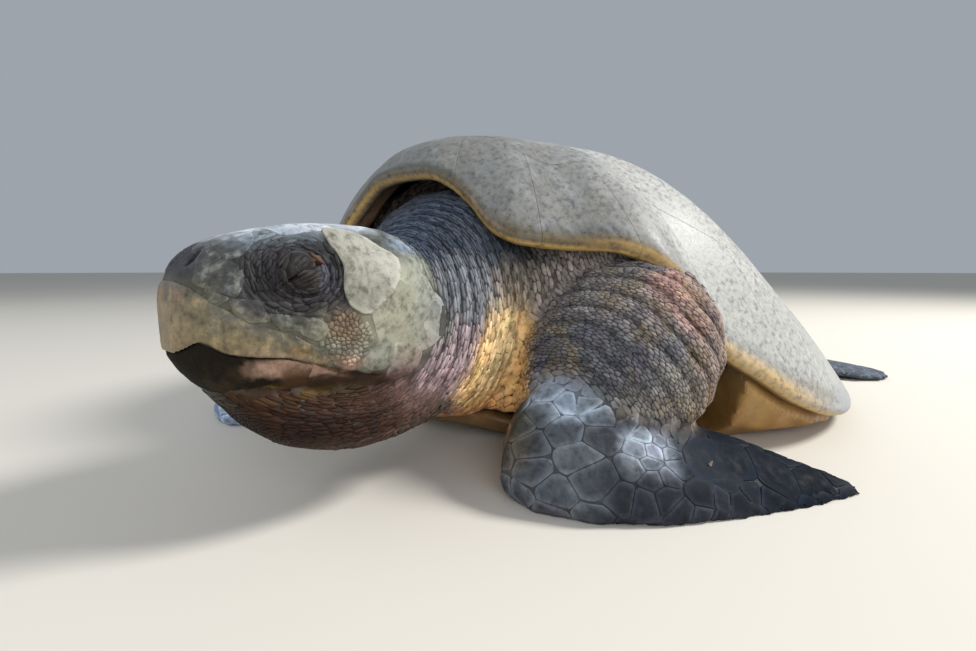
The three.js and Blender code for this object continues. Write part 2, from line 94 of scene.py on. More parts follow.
def bell(distance: Array, width: float) -> Array:
    """Bell curve of height one at distance zero."""
    return np.exp(-((distance / width) ** 2))


def wave(distance: Array, length: float) -> Array:
    """Sine wave of this length along a distance."""
    return np.sin(distance * 2 * math.pi / length)


def linear(hex_colour: str) -> tuple[float, float, float]:
    """A hex sRGB colour as linear red, green and blue."""
    values = [int(hex_colour[i : i + 2], 16) / 255 for i in (1, 3, 5)]
    return tuple(v / 12.92 if v <= 0.04045 else ((v + 0.055) / 1.055) ** 2.4 for v in values)


def plain(points: Array, hex_colour: str) -> Array:
    """The same linear colour for every place."""
    return np.zeros_like(points) + np.array(linear(hex_colour))


def toward(colour: Array, hex_colour: str, share: Array) -> Array:
    """Linear colours moved towards another one by a share at each place."""
    return colour + share[:, None] * (np.array(linear(hex_colour)) - colour)


class Knots:
    """A smooth value along a row of (place, value) knots, level at its ends and without overshoot."""

    def __init__(self, knots: Sequence[tuple[float, float]]) -> None:
        """Reads the knots and works out a slope at each.

        Args:
            knots: Places in rising order, each with its value.
        """
        self.x, self.y = np.array(knots, float).T
        slope = np.diff(self.y) / np.diff(self.x)
        before, after = slope[:-1], slope[1:]
        same_way = before * after > 0
        total = np.where(same_way, before + after, 1.0)
        inner = np.where(same_way, 2 * before * after / total, 0.0)
        self.tangent = np.concatenate([[0.0], inner, [0.0]])

    def __call__(self, place: Array) -> Array:
        """The value at each place.

        Args:
            place: Places along the row. Those beyond its ends take the end's value.

        Returns:
            One value for each.
        """
        t = np.clip(np.asarray(place, float), self.x[0], self.x[-1])
        i = np.clip(np.searchsorted(self.x, t) - 1, 0, len(self.x) - 2)
        width = self.x[i + 1] - self.x[i]
        u = (t - self.x[i]) / width
        rising = self.y[i] * (2 * u**3 - 3 * u**2 + 1) + self.y[i + 1] * (3 * u**2 - 2 * u**3)
        leaning = self.tangent[i] * (u**3 - 2 * u**2 + u) + self.tangent[i + 1] * (u**3 - u**2)
        return rising + leaning * width


class Grain:
    """Smooth noise in space, from -1 to 1, the same on every run."""

    PRIMES = (73856093, 19349663, 83492791)
    TABLE = 4096
    SHIFT = 17.3
    FADE = 0.55

    def __init__(self, seed: int) -> None:
        """Fills the table of random values from a seed."""
        self.table = np.random.default_rng(seed).uniform(-1, 1, self.TABLE)

    def __call__(self, points: Array, size: float, octaves: int = 1) -> Array:
        """Noise at the points.

        Args:
            points: Places, one in each row.
            size: Size of the largest grains, in metres.
            octaves: How many finer layers are added up.

        Returns:
            One value for each point.
        """
        total, gain, weight = np.zeros(len(points)), 1.0, 0.0
        for octave in range(octaves):
            place = points / size * 2**octave + self.SHIFT * octave
            cell = np.floor(place).astype(np.int64)
            part = place - cell
            part = part * part * (3 - 2 * part)
            layer = np.zeros(len(points))
            for corner in np.ndindex(2, 2, 2):
                key = [(cell[:, k] + corner[k]) * self.PRIMES[k] for k in range(3)]
                share = np.prod([part[:, k] if corner[k] else 1 - part[:, k] for k in range(3)], axis=0)
                layer += share * self.table[(key[0] ^ key[1] ^ key[2]) & (self.TABLE - 1)]
            total += gain * layer
            weight += gain
            gain *= self.FADE
        return total / weight


GRAIN = Grain(7)


# ---------------------------------------------------------------- Blender objects


def only(piece: bpy.types.Object) -> None:
    """Selects this object alone and makes it active.

    Args:
        piece: The object to select and make active.
    """
    bpy.ops.object.select_all(action="DESELECT")
    piece.select_set(True)
    bpy.context.view_layer.objects.active = piece


def made(name: str, points: Array, faces: Sequence[Sequence[int]]) -> bpy.types.Object:
    """A new mesh object at the origin, shaded smooth.

    Args:
        name: The object's name.
        points: Places of its vertices in metres.
        faces: The vertices round each face.

    Returns:
        The object, in the scene.
    """
    mesh = bpy.data.meshes.new(name)
    mesh.from_pydata(np.asarray(points, float).tolist(), [], [list(map(int, f)) for f in faces])
    mesh.polygons.foreach_set("use_smooth", np.ones(len(mesh.polygons), bool))
    mesh.update()
    piece = bpy.data.objects.new(name, mesh)
    bpy.context.scene.collection.objects.link(piece)
    return piece


def read(items: bpy.types.bpy_prop_collection, name: str, width: int = 1, kind: type = float) -> Array:
    """One property of all vertices, edges, corners or faces.

    Args:
        items: The mesh's items.
        name: The property's name.
        width: How many numbers an item holds.
        kind: The type of number.

    Returns:
        The numbers, with one row for each item where it holds several.
    """
    out = np.empty(len(items) * width, kind)
    items.foreach_get(name, out)
    return out.reshape(-1, width) if width > 1 else out


def places(piece: bpy.types.Object) -> Array:
    """The vertices' places, one in each row."""
    return read(piece.data.vertices, "co", 3)


def put(piece: bpy.types.Object, points: Array) -> None:
    """Moves the vertices to these places."""
    piece.data.vertices.foreach_set("co", np.ascontiguousarray(points).ravel())
    piece.data.update()


def normals(piece: bpy.types.Object) -> Array:
    """The vertices' normals, one in each row."""
    return read(piece.data.vertex_normals, "vector", 3)


def edges(piece: bpy.types.Object) -> Array:
    """The two vertices of every edge."""
    return read(piece.data.edges, "vertices", 2, np.int32)


def triangles(piece: bpy.types.Object) -> Array:
    """The three vertices of every triangle that the faces split into."""
    piece.data.calc_loop_triangles()
    return read(piece.data.loop_triangles, "vertices", 3, np.int32)


def spread(values: Array, pairs: Array, times: int) -> Array:
    """Values averaged with their neighbours' along the mesh.

    Args:
        values: One row for each vertex.
        pairs: The mesh's edges.
        times: How often they are averaged.

    Returns:
        The averaged values, in the same shape.
    """
    count = len(values)
    a, b = pairs.T
    degree = np.maximum(np.bincount(a, minlength=count) + np.bincount(b, minlength=count), 1)
    columns = values.reshape(count, -1).copy()
    for _ in range(times):
        for k in range(columns.shape[1]):
            c = columns[:, k]
            total = np.bincount(a, c[b], count) + np.bincount(b, c[a], count)
            columns[:, k] = 0.5 * c + 0.5 * total / degree
    return columns.reshape(values.shape)


def ease(piece: bpy.types.Object, times: int) -> Array:
    """Smooths a piece without shrinking it: each inward pass has an outward one.

    Args:
        piece: The piece.
        times: How many pairs of passes.

    Returns:
        The vertices' new places.
    """
    points, pairs = places(piece), edges(piece)
    for _ in range(times):
        for pull in (1.0, -1.04):
            points = points + pull * (spread(points, pairs, 1) - points)
    put(piece, points)
    return points


def gathered(nodes: Sequence[str]) -> tuple[Array, Array]:
    """The places and triangles of CAD nodes together.

    Args:
        nodes: Names of the nodes.

    Returns:
        Their places in metres and the vertices of their triangles.
    """
    points, faces, start = [], [], 0
    for node in nodes:
        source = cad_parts[node]
        points.append(places(source))
        faces.append(triangles(source) + start)
        start += len(points[-1])
    return np.concatenate(points), np.concatenate(faces)


def edit(
    piece: bpy.types.Object, operator: Callable[..., object], chosen: Array | None = None, **settings: object
) -> None:
    """Runs a mesh operator in edit mode.

    Args:
        piece: The object it works on.
        operator: The operator.
        chosen: A mask over the vertices: only faces whose vertices are all chosen are worked on.
        **settings: The operator's settings.
    """
    only(piece)
    mesh = piece.data
    if chosen is not None:
        for items in (mesh.vertices, mesh.edges):
            items.foreach_set("select", np.zeros(len(items), bool))
        corner = read(mesh.loops, "vertex_index", 1, np.int32)
        starts = read(mesh.polygons, "loop_start", 1, np.int32)
        whole = np.minimum.reduceat(chosen[corner].astype(np.int8), starts) > 0
        mesh.polygons.foreach_set("select", whole)
    bpy.ops.object.mode_set(mode="EDIT")
    if chosen is None:
        bpy.ops.mesh.select_all(action="SELECT")
    else:
        bpy.ops.mesh.select_mode(type="FACE")
    operator(**settings)
    bpy.ops.object.mode_set(mode="OBJECT")


def remeshed(name: str, nodes: Sequence[str], voxel_mm: float) -> bpy.types.Object:
    """One new object from copies of CAD nodes, remeshed to small even faces.

    Args:
        name: The object's name.
        nodes: The nodes.
        voxel_mm: Size of the new faces in millimetres.

    Returns:
        The object.
    """
    piece = made(name, *gathered(nodes))
    edit(piece, bpy.ops.mesh.remove_doubles, threshold=1e-6)
    only(piece)
    modifier = piece.modifiers.new("Remesh", "REMESH")
    modifier.mode, modifier.voxel_size, modifier.adaptivity = "VOXEL", voxel_mm * MM, 0.0
    bpy.ops.object.modifier_apply(modifier=modifier.name)
    return piece


def colour_layer(piece: bpy.types.Object, name: str, colours: Array) -> None:
    """Stores linear colours on the vertices under a name.

    Args:
        piece: The object.
        name: The layer's name.
        colours: Linear colour of each vertex.
    """
    layer = piece.data.attributes.new(name, "FLOAT_COLOR", "POINT")
    rgba = np.ones((len(colours), 4))
    rgba[:, :3] = np.clip(colours, 0, 1)
    layer.data.foreach_set("color", rgba.ravel())


def value_layer(piece: bpy.types.Object, name: str, values: Array) -> None:
    """Stores one number for each vertex under a name."""
    layer = piece.data.attributes.new(name, "FLOAT", "POINT")
    layer.data.foreach_set("value", np.ascontiguousarray(values, dtype=float))


def hand_over(
    piece: bpy.types.Object, material: bpy.types.Material, nodes: Sequence[str]
) -> None:
    """Gives a piece its material, and says what it rides on and which nodes it replaces.

    Args:
        piece: The piece, which is kept from sinking under the floor.
        material: The material.
        nodes: The CAD nodes that it replaces.
    """
    points = places(piece)
    points[:, 2] = np.maximum(points[:, 2], 0.0)
    put(piece, points)
    piece.data.materials.clear()
    piece.data.materials.append(material)
    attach(piece, "root")
    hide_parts(*nodes)
    LOG.info("%s: %d triangles", piece.name, sum(len(p.vertices) - 2 for p in piece.data.polygons))


# ---------------------------------------------------------------- materials


def add(
    tree: bpy.types.NodeTree,
    kind: str,
    settings: dict[str, object] | None = None,
    links: dict[str, bpy.types.NodeSocket] | None = None,
) -> bpy.types.Node:
    """Adds one shader node.

    Args:
        tree: The material's node tree.
        kind: The node's type name after "ShaderNode".
        settings: Properties of the node, or values of its input sockets, by name.
        links: Output sockets that feed the node's inputs, by input name.

    Returns:
        The new node.
    """
    node = tree.nodes.new("ShaderNode" + kind)
    for name, value in (settings or {}).items():
        if name in node.inputs:
            node.inputs[name].default_value = value
        else:
            setattr(node, name, value)
    for name, socket in (links or {}).items():
        key = int(name) if name.isdigit() else name
        tree.links.new(socket, node.inputs[key])
    return node


def mixed(tree: bpy.types.NodeTree, mode: str, share: object, a: object, b: object) -> bpy.types.NodeSocket:
    """Two colours blended. The share and either colour may be a value or a socket.

    Args:
        tree: The material's node tree.
        mode: The blend mode.
        share: How much of the second colour, or of the blend's effect, there is.
        a: The first colour.
        b: The second colour.

    Returns:
        The blend's output.
    """
    node = tree.nodes.new("ShaderNodeMix")
    node.data_type = "RGBA"
    node.blend_type = mode
    for index, item in ((0, share), (6, a), (7, b)):
        if isinstance(item, bpy.types.NodeSocket):
            tree.links.new(item, node.inputs[index])
        else:
            node.inputs[index].default_value = item
    return node.outputs[2]


@dataclass(frozen=True)
class Finish:
    """A natural surface: an airbrushed colour broken up by mottling, specks and a fine relief.

    The airbrushed colour comes from the piece's own "tint" attribute. Where there is a gain, light
    mottles multiply it by the gain, and otherwise they blend it with the pale colour.
    """

    name: str
    roughness: float
    ior: float = 1.5
    shine: float = 0.5
    coat: float = 0.0
    rough_spread: float = 0.15
    dark: str = "#2c2a28"
    pale: str = "#c9c6bd"
    gain: float = 0.0
    mottle_mm: float = 9.0
    mottle: float = 0.35
    speck_mm: float = 2.2
    speck: float = 0.2
    relief_mm: float = 1.2
    relief_depth_mm: float = 0.12
    cellular: bool = True

    def material(self) -> bpy.types.Material:
        """Builds the material's nodes.

        Returns:
            The material.
        """
        material = bpy.data.materials.new(self.name)
        material.use_nodes = True
        tree = material.node_tree
        tree.nodes.clear()
        place = add(tree, "TexCoord").outputs["Object"]
        tint = add(tree, "Attribute", {"attribute_name": "tint"}).outputs["Color"]
        mottle = self._noise(tree, place, self.mottle_mm, 4.0)
        speck = self._noise(tree, place, self.speck_mm, 2.0)
        shadows = self._band(tree, mottle, 0.50, 0.32, 0.0, self.mottle)
        lights = self._band(tree, mottle, 0.52, 0.72, 0.0, self.mottle * 0.6)
        colour = mixed(tree, "MIX", shadows, tint, (*linear(self.dark), 1))
        if self.gain:
            colour = mixed(tree, "MULTIPLY", lights, colour, (self.gain, self.gain, self.gain, 1))
        else:
            colour = mixed(tree, "MIX", lights, colour, (*linear(self.pale), 1))
        dots = self._band(tree, speck, 0.40, 0.28, 0.0, self.speck)
        colour = mixed(tree, "MULTIPLY", dots, colour, (0.32, 0.31, 0.30, 1))
        low, high = self.roughness - self.rough_spread, self.roughness + self.rough_spread
        rough = self._band(tree, mottle, 0.3, 0.7, low, high)
        depth = {"Strength": 1.0, "Distance": self.relief_depth_mm * MM}
        bump = add(tree, "Bump", depth, {"Height": self._relief(tree, place)}).outputs[0]
        gloss = {
            "IOR": self.ior,
            "Specular IOR Level": self.shine,
            "Coat Weight": self.coat,
            "Coat Roughness": 0.12,
        }
        links = {"Base Color": colour, "Roughness": rough, "Normal": bump}
        shader = add(tree, "BsdfPrincipled", gloss, links)
        add(tree, "OutputMaterial", links={"Surface": shader.outputs[0]})
        return material

    def _noise(
        self, tree: bpy.types.NodeTree, place: bpy.types.NodeSocket, size_mm: float, detail: float
    ) -> bpy.types.NodeSocket:
        """A noise whose grains are about this size."""
        settings = {"Scale": 1 / (size_mm * MM), "Detail": detail, "Roughness": 0.6}
        return add(tree, "TexNoise", settings, {"Vector": place}).outputs[0]

    def _band(
        self,
        tree: bpy.types.NodeTree,
        value: bpy.types.NodeSocket,
        start: float,
        end: float,
        low: float,
        high: float,
    ) -> bpy.types.NodeSocket:
        """A value's range from start to end stretched to the range from low to high."""
        settings = {"From Min": start, "From Max": end, "To Min": low, "To Max": high}
        return add(tree, "MapRange", settings, {"Value": value}).outputs[0]

    def _relief(self, tree: bpy.types.NodeTree, place: bpy.types.NodeSocket) -> bpy.types.NodeSocket:
        """The height of the fine relief: small rounded cells, or smooth wear with fine scratches.

        Args:
            tree: The material's nodes.
            place: Where each point lies.

        Returns:
            The height, for a bump.
        """
        scale = 1 / (self.relief_mm * MM)
        if self.cellular:
            return add(tree, "TexVoronoi", {"Scale": scale}, {"Vector": place}).outputs["Distance"]
        return self._noise(tree, place, self.relief_mm, 5.0)


# Wet skin between the scales: nearly matt, and dark from the painted shade in its tint, so that the scales
# stand out from it.
HIDE = Finish("wet_scaly_hide", roughness=0.6, shine=0.2, dark="#1d1b1c", pale="#8d8b88", mottle=0.3)
# Small horny scales: each catches the light a little differently, with soot-dark specks.
SCALE = Finish(
    "scale_keratin", roughness=0.6, shine=0.1, dark="#1c1d20", gain=2.2, mottle_mm=5.5, mottle=0.5, speck=0.3,
    speck_mm=1.4, relief_mm=0.9, relief_depth_mm=0.06,
)
# Flipper plates: the same horn, with so little shine that the flat blade stays near black.
FLIPPER_PLATE = replace(SCALE, name="flipper_plate_keratin", shine=0.04)
# Head plates: scuffed and chalky, with pale wear over soot, like old slate.
FACE = Finish(
    "scuffed_head_keratin", roughness=0.5, shine=0.22, dark="#1e1d1b", pale="#b4b7ac", mottle_mm=5.0,
    mottle=0.56, speck=0.6, speck_mm=1.5, relief_mm=1.8, relief_depth_mm=0.2, cellular=False,
)
# Shell plates: sand-worn grey horn, finely stippled, that takes a broad soft glare.
WORN_HORN = Finish(
    "worn_scute_keratin", roughness=0.42, shine=0.1, dark="#232b36", gain=1.8, mottle_mm=4.5, mottle=0.42,
    speck_mm=2.6, speck=0.5, relief_mm=4.0, relief_depth_mm=0.25, cellular=False,
)
# Belly and bridge: smooth waxy yellow horn with wide brown clouds.
BELLY_HORN = Finish(
    "belly_keratin", roughness=0.45, shine=0.35, dark="#5d3f1f", pale="#d6b878", mottle_mm=18.0, mottle=0.35,
    speck_mm=3.0, speck=0.2, relief_mm=3.0, relief_depth_mm=0.15, cellular=False,
)
# Upper beak: horn the colour of old ivory, stained and faintly polished.
BEAK_HORN = Finish(
    "beak_keratin", roughness=0.45, shine=0.35, dark="#2a231a", pale="#c3ab7e", mottle_mm=5.0, mottle=0.55,
    speck_mm=1.6, speck=0.5, relief_mm=1.2, relief_depth_mm=0.12, cellular=False,
)
# Lower beak: nearly black and dull, so that it reads as a dark gap under the ivory.
DARK_BEAK = Finish(
    "dark_beak_keratin", roughness=0.8, shine=0.12, dark="#100d0a", pale="#40372a", mottle_mm=4.0,
    mottle=0.35, speck_mm=1.6, speck=0.3, relief_mm=1.0, relief_depth_mm=0.12, cellular=False,
)
# Claws: plain brown-grey horn with a slight gloss.
CLAW_HORN = Finish(
    "claw_keratin", roughness=0.4, mottle_mm=2.0, relief_mm=0.8, relief_depth_mm=0.03, cellular=False
)
# Eyes: black-brown under a clear wet film, which gives one sharp glint.
WET_EYE = Finish(
    "wet_eye", roughness=0.08, ior=1.376, dark="#0c0908", pale="#33261c", mottle_mm=3.0, mottle=0.3,
    speck=0.0, relief_mm=1.0, relief_depth_mm=0.002, cellular=False, rough_spread=0.03, coat=1.0,
)


# ---------------------------------------------------------------- the shell's form, in millimetres


class Dome:
    """The carapace as the solids have it: a rim of changing radius and height under a full dome."""

    TOP = 255.0
    APEX_Y = -194.0
    MARGINAL_WIDTH = 44.0
    # from under the shell's top to its rim, taken as round
    REACH = 300.0
    RADIUS = (
        (0, 305), (10, 307), (20, 320), (30, 302), (42, 299), (55, 300), (70, 305), (90, 300),
        (125, 295), (150, 299), (180, 327),
    )
    HEIGHT = (
        (0, 215), (6, 213), (10, 203), (14, 186), (18, 164), (22, 156), (27, 154), (33, 155), (38, 149),
        (42, 135), (46, 108), (50, 77), (56, 58), (64, 35), (74, 20), (90, 12), (125, 15), (150, 22),
        (180, 30),
    )
    FULLNESS = ((0, 5.4), (20, 4.1), (40, 3.1), (60, 3.2), (90, 2.3), (130, 2.2), (180, 2.45))

    def __init__(self) -> None:
        """Samples the rim for finding places under it."""
        self.radius, self.height, self.fullness = Knots(self.RADIUS), Knots(self.HEIGHT), Knots(self.FULLNESS)
        self.angles = np.linspace(-180, 180, 8 * 360 + 1)
        rim = self.rim(self.angles)
        self.reach = np.hypot(rim[:, 0], rim[:, 1] - self.APEX_Y)
        self.bearing = np.unwrap(np.arctan2(rim[:, 0], self.APEX_Y - rim[:, 1]))

    def rim(self, angle: Array) -> Array:
        """Plan place of the rim at angles in degrees from the head towards the animal's left."""
        turn, r = np.radians(angle), self.radius(np.abs(angle))
        return np.stack([r * np.sin(turn), -r * np.cos(turn)], axis=-1)

    def find(self, plan: Array) -> tuple[Array, Array]:
        """The angle and share of plan places: share 0 under the top of the shell, 1 at its rim.

        Args:
            plan: Plan places in millimetres.

        Returns:
            Their angles in degrees and shares of the reach.
        """
        bearing = np.arctan2(plan[:, 0], self.APEX_Y - plan[:, 1])
        angle = np.interp(bearing, self.bearing, self.angles)
        reach = np.interp(bearing, self.bearing, self.reach)
        return angle, np.hypot(plan[:, 0], plan[:, 1] - self.APEX_Y) / reach

    def share(self, plan: Array) -> Array:
        """The share of plan places alone."""
        return self.find(plan)[1]

    def from_rim(self, plan: Array) -> Array:
        """Roughly how far in from the rim plan places lie."""
        return (1 - self.share(plan)) * self.REACH

    def at(self, angle: Array, share: Array) -> Array:
        """The place on the shell's outer face. A share of 1 and beyond is at the rim's own height.

        Args:
            angle: Angles in degrees.
            share: Share of the way from apex to rim.

        Returns:
            Places in millimetres.
        """
        rim, height = self.rim(angle), self.height(np.abs(angle))
        plan = np.stack([rim[:, 0] * share, self.APEX_Y + (rim[:, 1] - self.APEX_Y) * share], axis=-1)
        lift = (self.TOP - height) * (1 - np.clip(share, 0, 1) ** self.fullness(np.abs(angle)))
        return np.column_stack([plan, height + lift])

    def over(self, plan: Array) -> Array:
        """The place on the shell's outer face over plan places."""
        return self.at(*self.find(plan))


DOME = Dome()


# ---------------------------------------------------------------- the animal's layout, in millimetres

HEAD = ("head", "lower_jaw", "throat")
BEAKS = ("upper_beak", "lower_beak")
EYES = ("eye_left", "eye_right")
HEAD_SIDE, HEAD_BACK = 42.0, 483.0
SKULL = np.array([42.0, -400.0, 118.0])
ELBOW = np.array([150.0, -292.0, 36.0])
# The right front limb lies farther out, farther forward and flatter than the left one mirrored.
LIMB_ROOT, LIMB_LENGTH, LIMB_OUT, LIMB_AHEAD, LIMB_LESS, LIMB_FLAT = 128.0, 177.0, 18.0, 60.0, 34.0, 0.86


def both(*words: str) -> tuple[str, ...]:
    """The left and right nodes of each kind."""
    return tuple(f"{word}_{side.word}" for word in words for side in Side)


REGIONS = {
    "head": HEAD + BEAKS + EYES,
    "neck": ("neck",),
    "trunk": ("trunk",),
    "tail": ("tail",),
    "arm": both("upper_arm"),
    "forearm": both("forearm"),
    "flipper": both("front_flipper"),
    "thigh": both("thigh"),
    "hind": both("hind_flipper"),
}
FLESH = (
    HEAD
    + ("neck", "trunk", "tail")
    + both("upper_arm", "forearm", "front_flipper", "thigh", "hind_flipper")
)


def head_axes(points: Array) -> tuple[Array, Array, Array]:
    """Places as distance out from the middle of the head, back from its tip, and height, in millimetres."""
    mm = points / MM
    return mm[:, 0] - HEAD_SIDE, mm[:, 1] + HEAD_BACK, mm[:, 2]


def on_head(side: float, back: float, height: float) -> Array:
    """A place in metres from the head's own measures."""
    return np.array([side + HEAD_SIDE, back - HEAD_BACK, height]) * MM


@dataclass(frozen=True)
class Blush:
    """A soft-edged patch of colour: a middle, its reach along each axis, and how ragged its edge is."""

    colour: str
    at: tuple[float, float, float]
    reach: tuple[float, float, float]
    strength: float = 1.0
    soft: float = 0.35
    ragged: float = 0.25
    part: str = ""
    grain: float = 14.0


def painted(points: Array, base: Array, blushes: Sequence[Blush], weights: dict[str, Array]) -> Array:
    """Airbrushes patches over a base colour, alike on both sides.

    Args:
        points: Places in metres.
        base: Linear colour of each place.
        blushes: The patches, in order.
        weights: How far each place belongs to each named region.

    Returns:
        The colours.
    """
    mm = points / MM
    side, back, height = head_axes(points)
    on_skull = np.stack([np.abs(side), back, height], axis=1)
    on_body = np.stack([np.abs(mm[:, 0]), *mm.T[1:]], axis=1)
    colour = base
    for k, b in enumerate(blushes):
        place = on_skull if b.part.startswith("head") else on_body
        away = np.linalg.norm((place - np.array(b.at)) / np.array(b.reach), axis=1)
        away += b.ragged * GRAIN(points + 0.31 * k, b.grain * MM, 3)
        share = b.strength * (1 - rise(away, 1 - b.soft, 1 + b.soft))
        colour = toward(colour, b.colour, share * weights.get(b.part, 1.0))
    return colour


SKIN_BASE = {
    "head": "#494b47",
    "neck": "#6b6e74",
    "trunk": "#978e87",
    "tail": "#63615f",
    "arm": "#85827f",
    "forearm": "#484b51",
    "flipper": "#26282e",
    "thigh": "#5d6066",
    "hind": "#4d525b",
}

SKIN_BLUSHES = (
    # nape and the inside of the arch, darkened with painted shade under the shell's front edge
    Blush("#2b3038", (0, -262, 190), (120, 60, 45), 0.9, part="neck"),
    Blush("#3a485b", (60, -330, 165), (60, 55, 30), 0.8, part="neck"),
    Blush("#4d423b", (0, -232, 192), (150, 30, 60), 0.9),
    Blush("#3c4149", (95, -300, 160), (40, 50, 30), 0.7),
    # sides of the neck, from grey to lilac and rose
    Blush("#83858a", (100, -340, 128), (30, 40, 24), 0.6, part="neck"),
    Blush("#af999d", (96, -350, 84), (40, 40, 26), 0.8, part="neck"),
    Blush("#a58886", (86, -340, 58), (50, 50, 26), 0.6, part="neck"),
    Blush("#463128", (42, -380, 40), (70, 70, 18), 0.8),
    # yellow skin between the neck and the shoulder
    Blush("#f7cf8f", (96, -292, 66), (24, 44, 62), 0.97, 0.25, 0.3),
    Blush("#f4e2b4", (92, -300, 90), (16, 24, 32), 0.5, 0.4, 0.2),
    Blush("#c98f5c", (88, -290, 28), (60, 60, 18), 0.75, 0.4, 0.2),
    Blush("#9c9082", (104, -286, 132), (24, 28, 18), 0.7),
    # shoulder
    Blush("#6f6b6a", (160, -262, 150), (60, 50, 26), 0.7, part="arm"),
    Blush("#545863", (165, -285, 96), (46, 40, 26), 0.6, part="arm"),
    Blush("#3f4450", (155, -300, 76), (50, 30, 16), 0.5, part="arm"),
    Blush("#b58b7f", (207, -243, 128), (24, 24, 26), 0.75, 0.4, 0.5, part="arm"),
    Blush("#9a8478", (226, -232, 100), (18, 34, 46), 0.7, 0.4, 0.3, part="arm"),
    Blush("#8f7357", (224, -228, 40), (20, 34, 34), 0.6, 0.4, 0.3, part="arm"),
    Blush("#8d7f7c", (180, -268, 118), (22, 20, 18), 0.35, 0.5, 0.5, part="arm"),
    # front limb, with painted highlights along the top of the forearm and painted glare on the plates by the
    # elbow
    Blush("#a0abb8", (165, -306, 67), (54, 34, 12), 0.9, 0.5, 0.4, part="forearm"),
    Blush("#8b939d", (208, -292, 38), (18, 20, 15), 0.75, 0.5, 0.5, part="flipper"),
    Blush("#4b4e53", (146, -334, 18), (44, 26, 24), 0.7),
    Blush("#7f8a97", (182, -306, 62), (34, 20, 9), 0.7, 0.5, 0.6, part="forearm"),
    Blush("#1d242c", (236, -266, 32), (24, 26, 16), 0.9, part="flipper"),
    Blush("#10161f", (266, -222, 24), (62, 44, 30), 0.97, part="flipper"),
    # painted sunlight on the tip of the right blade
    Blush("#8f9fb2", (150, -390, 14), (36, 36, 30), 0.95, part="right_blade"),
    Blush("#55503f", (135, -330, 38), (14, 30, 18), 0.5, part="forearm"),
)

HEAD_BLUSHES = (
    # painted highlight over the top of the head
    Blush("#ccd6de", (0, 70, 172), (34, 55, 16), 0.95, 0.5, 0.3, "head"),
    Blush("#b3b8ba", (20, 40, 166), (18, 26, 10), 0.6, 0.5, 0.4, "head"),
    Blush("#3f3e3c", (26, 24, 138), (20, 18, 18), 0.85, 0.4, 0.5, "head", 8),
    Blush("#6f7566", (34, 26, 124), (14, 16, 7), 0.7, 0.5, 0.6, "head", 7),
    Blush("#3c3c44", (6, 7, 149), (14, 12, 9), 0.9, 0.4, 0.2, "head", 6),
    Blush("#6f8190", (24, 44, 158), (16, 24, 9), 0.5, 0.5, 0.3, "head"),
    # sooty mask round the eye
    Blush("#343435", (40, 38, 133), (20, 33, 28), 0.85, 0.45, 0.5, "head"),
    Blush("#353335", (42, 43, 139), (18, 28, 24), 0.95, 0.3, 0.35, "head"),
    Blush("#2b2624", (44, 50, 141), (16, 13, 10), 0.85, 0.4, 0.4, "head", 6),
    Blush("#5a5b66", (47, 58, 139), (12, 4, 9), 0.55, 0.5, 0.6, "head", 4),
    Blush("#6b4632", (47, 53.5, 146.5), (12, 3, 2.2), 0.8, 0.4, 0.4, "head", 4),
    # painted highlight on the wet corner of the eye
    Blush("#a8927c", (47, 57, 148.5), (12, 1.6, 1.2), 0.8, 0.4, 0.3, "head", 4),
    Blush("#2a2826", (44, 46, 118), (12, 16, 7), 0.85, 0.45, 0.6, "head", 5),
    Blush("#26211b", (44, 50, 107), (10, 4, 7), 0.9, 0.4, 0.6, "head", 4),
    # cheek
    Blush("#8b8878", (52, 62, 104), (18, 26, 17), 0.75, 0.5, 0.5, "head", 8),
    Blush("#6a5746", (52, 66, 113), (12, 11, 9), 0.8, 0.4, 0.6, "head", 7),
    Blush("#94937f", (58, 104, 118), (18, 28, 38), 0.85, 0.35, 0.25, "head"),
    Blush("#83867c", (56, 124, 118), (20, 18, 36), 0.9, 0.4, 0.3, "head"),
    Blush("#9f9e90", (52, 84, 92), (14, 13, 10), 0.75, 0.4, 0.4, "head", 7),
    Blush("#83867c", (53, 127, 108), (12, 8, 13), 0.8, 0.4, 0.3, "head_beak"),
    # lower jaw: rosy band, then a ragged dark stain with ochre blotches, then the brown throat
    Blush("#b99580", (44, 50, 92), (16, 25, 6.5), 0.9, 0.35, 0.4, "head", 6),
    Blush("#4a2f22", (30, 74, 66), (46, 68, 18), 0.95, 0.4, 0.3, "head"),
    Blush("#3f2b1b", (34, 54, 80), (34, 50, 9), 0.97, 0.25, 0.6, "head", 6),
    Blush("#655026", (40, 56, 79), (12, 10, 2.6), 0.75, 0.3, 0.8, "head", 5),
    Blush("#4a4128", (46, 68, 79), (14, 11, 3), 0.7, 0.4, 0.9, "head", 5),
    Blush("#1c110b", (0, 56, 62), (60, 76, 13), 0.85, 0.5, 0.4, "head"),
    Blush("#8a99ab", (41, 111, 158), (12, 10, 8), 0.7, 0.5, 0.4, "head"),
    Blush("#7c6461", (50, 114, 80), (22, 22, 18), 0.6, 0.5, 0.3, "head"),
)


@dataclass
class SkinSize:
    """Measures of the skin, in millimetres."""

    voxel: float = 3.4
    hidden_share: float = 0.06
    coat_depth: float = 0.8
    beak_depth: float = 2.4
    eye: tuple[float, float, float] = (47.0, 47.0, 142.0)
    orbit_depth: float = 2.0
    lid_height: float = 2.2
    slit_depth: float = 3.6
    slit_half_width: float = 1.0
    nostril: tuple[float, float, float] = (7.5, 9.5, 148.0)
    nostril_middle: float = 4.0
    nostril_radius: float = 3.5
    nostril_depth: float = 6.0
    neck_fold: float = 8.5
    neck_fold_depth: float = 2.2
    arm_fold: float = 12.0
    arm_fold_depth: float = 2.6
    clearance: float = 11.0
    stains: tuple[tuple[str, float], ...] = (("#8d7b56", 0.4), ("#55536b", 0.4), ("#a59c97", 0.3))
    mouth: tuple[tuple[float, float], ...] = (
        (20, 99), (40, 100), (48, 98), (55, 93), (68, 87), (83, 83), (95, 82)
    )


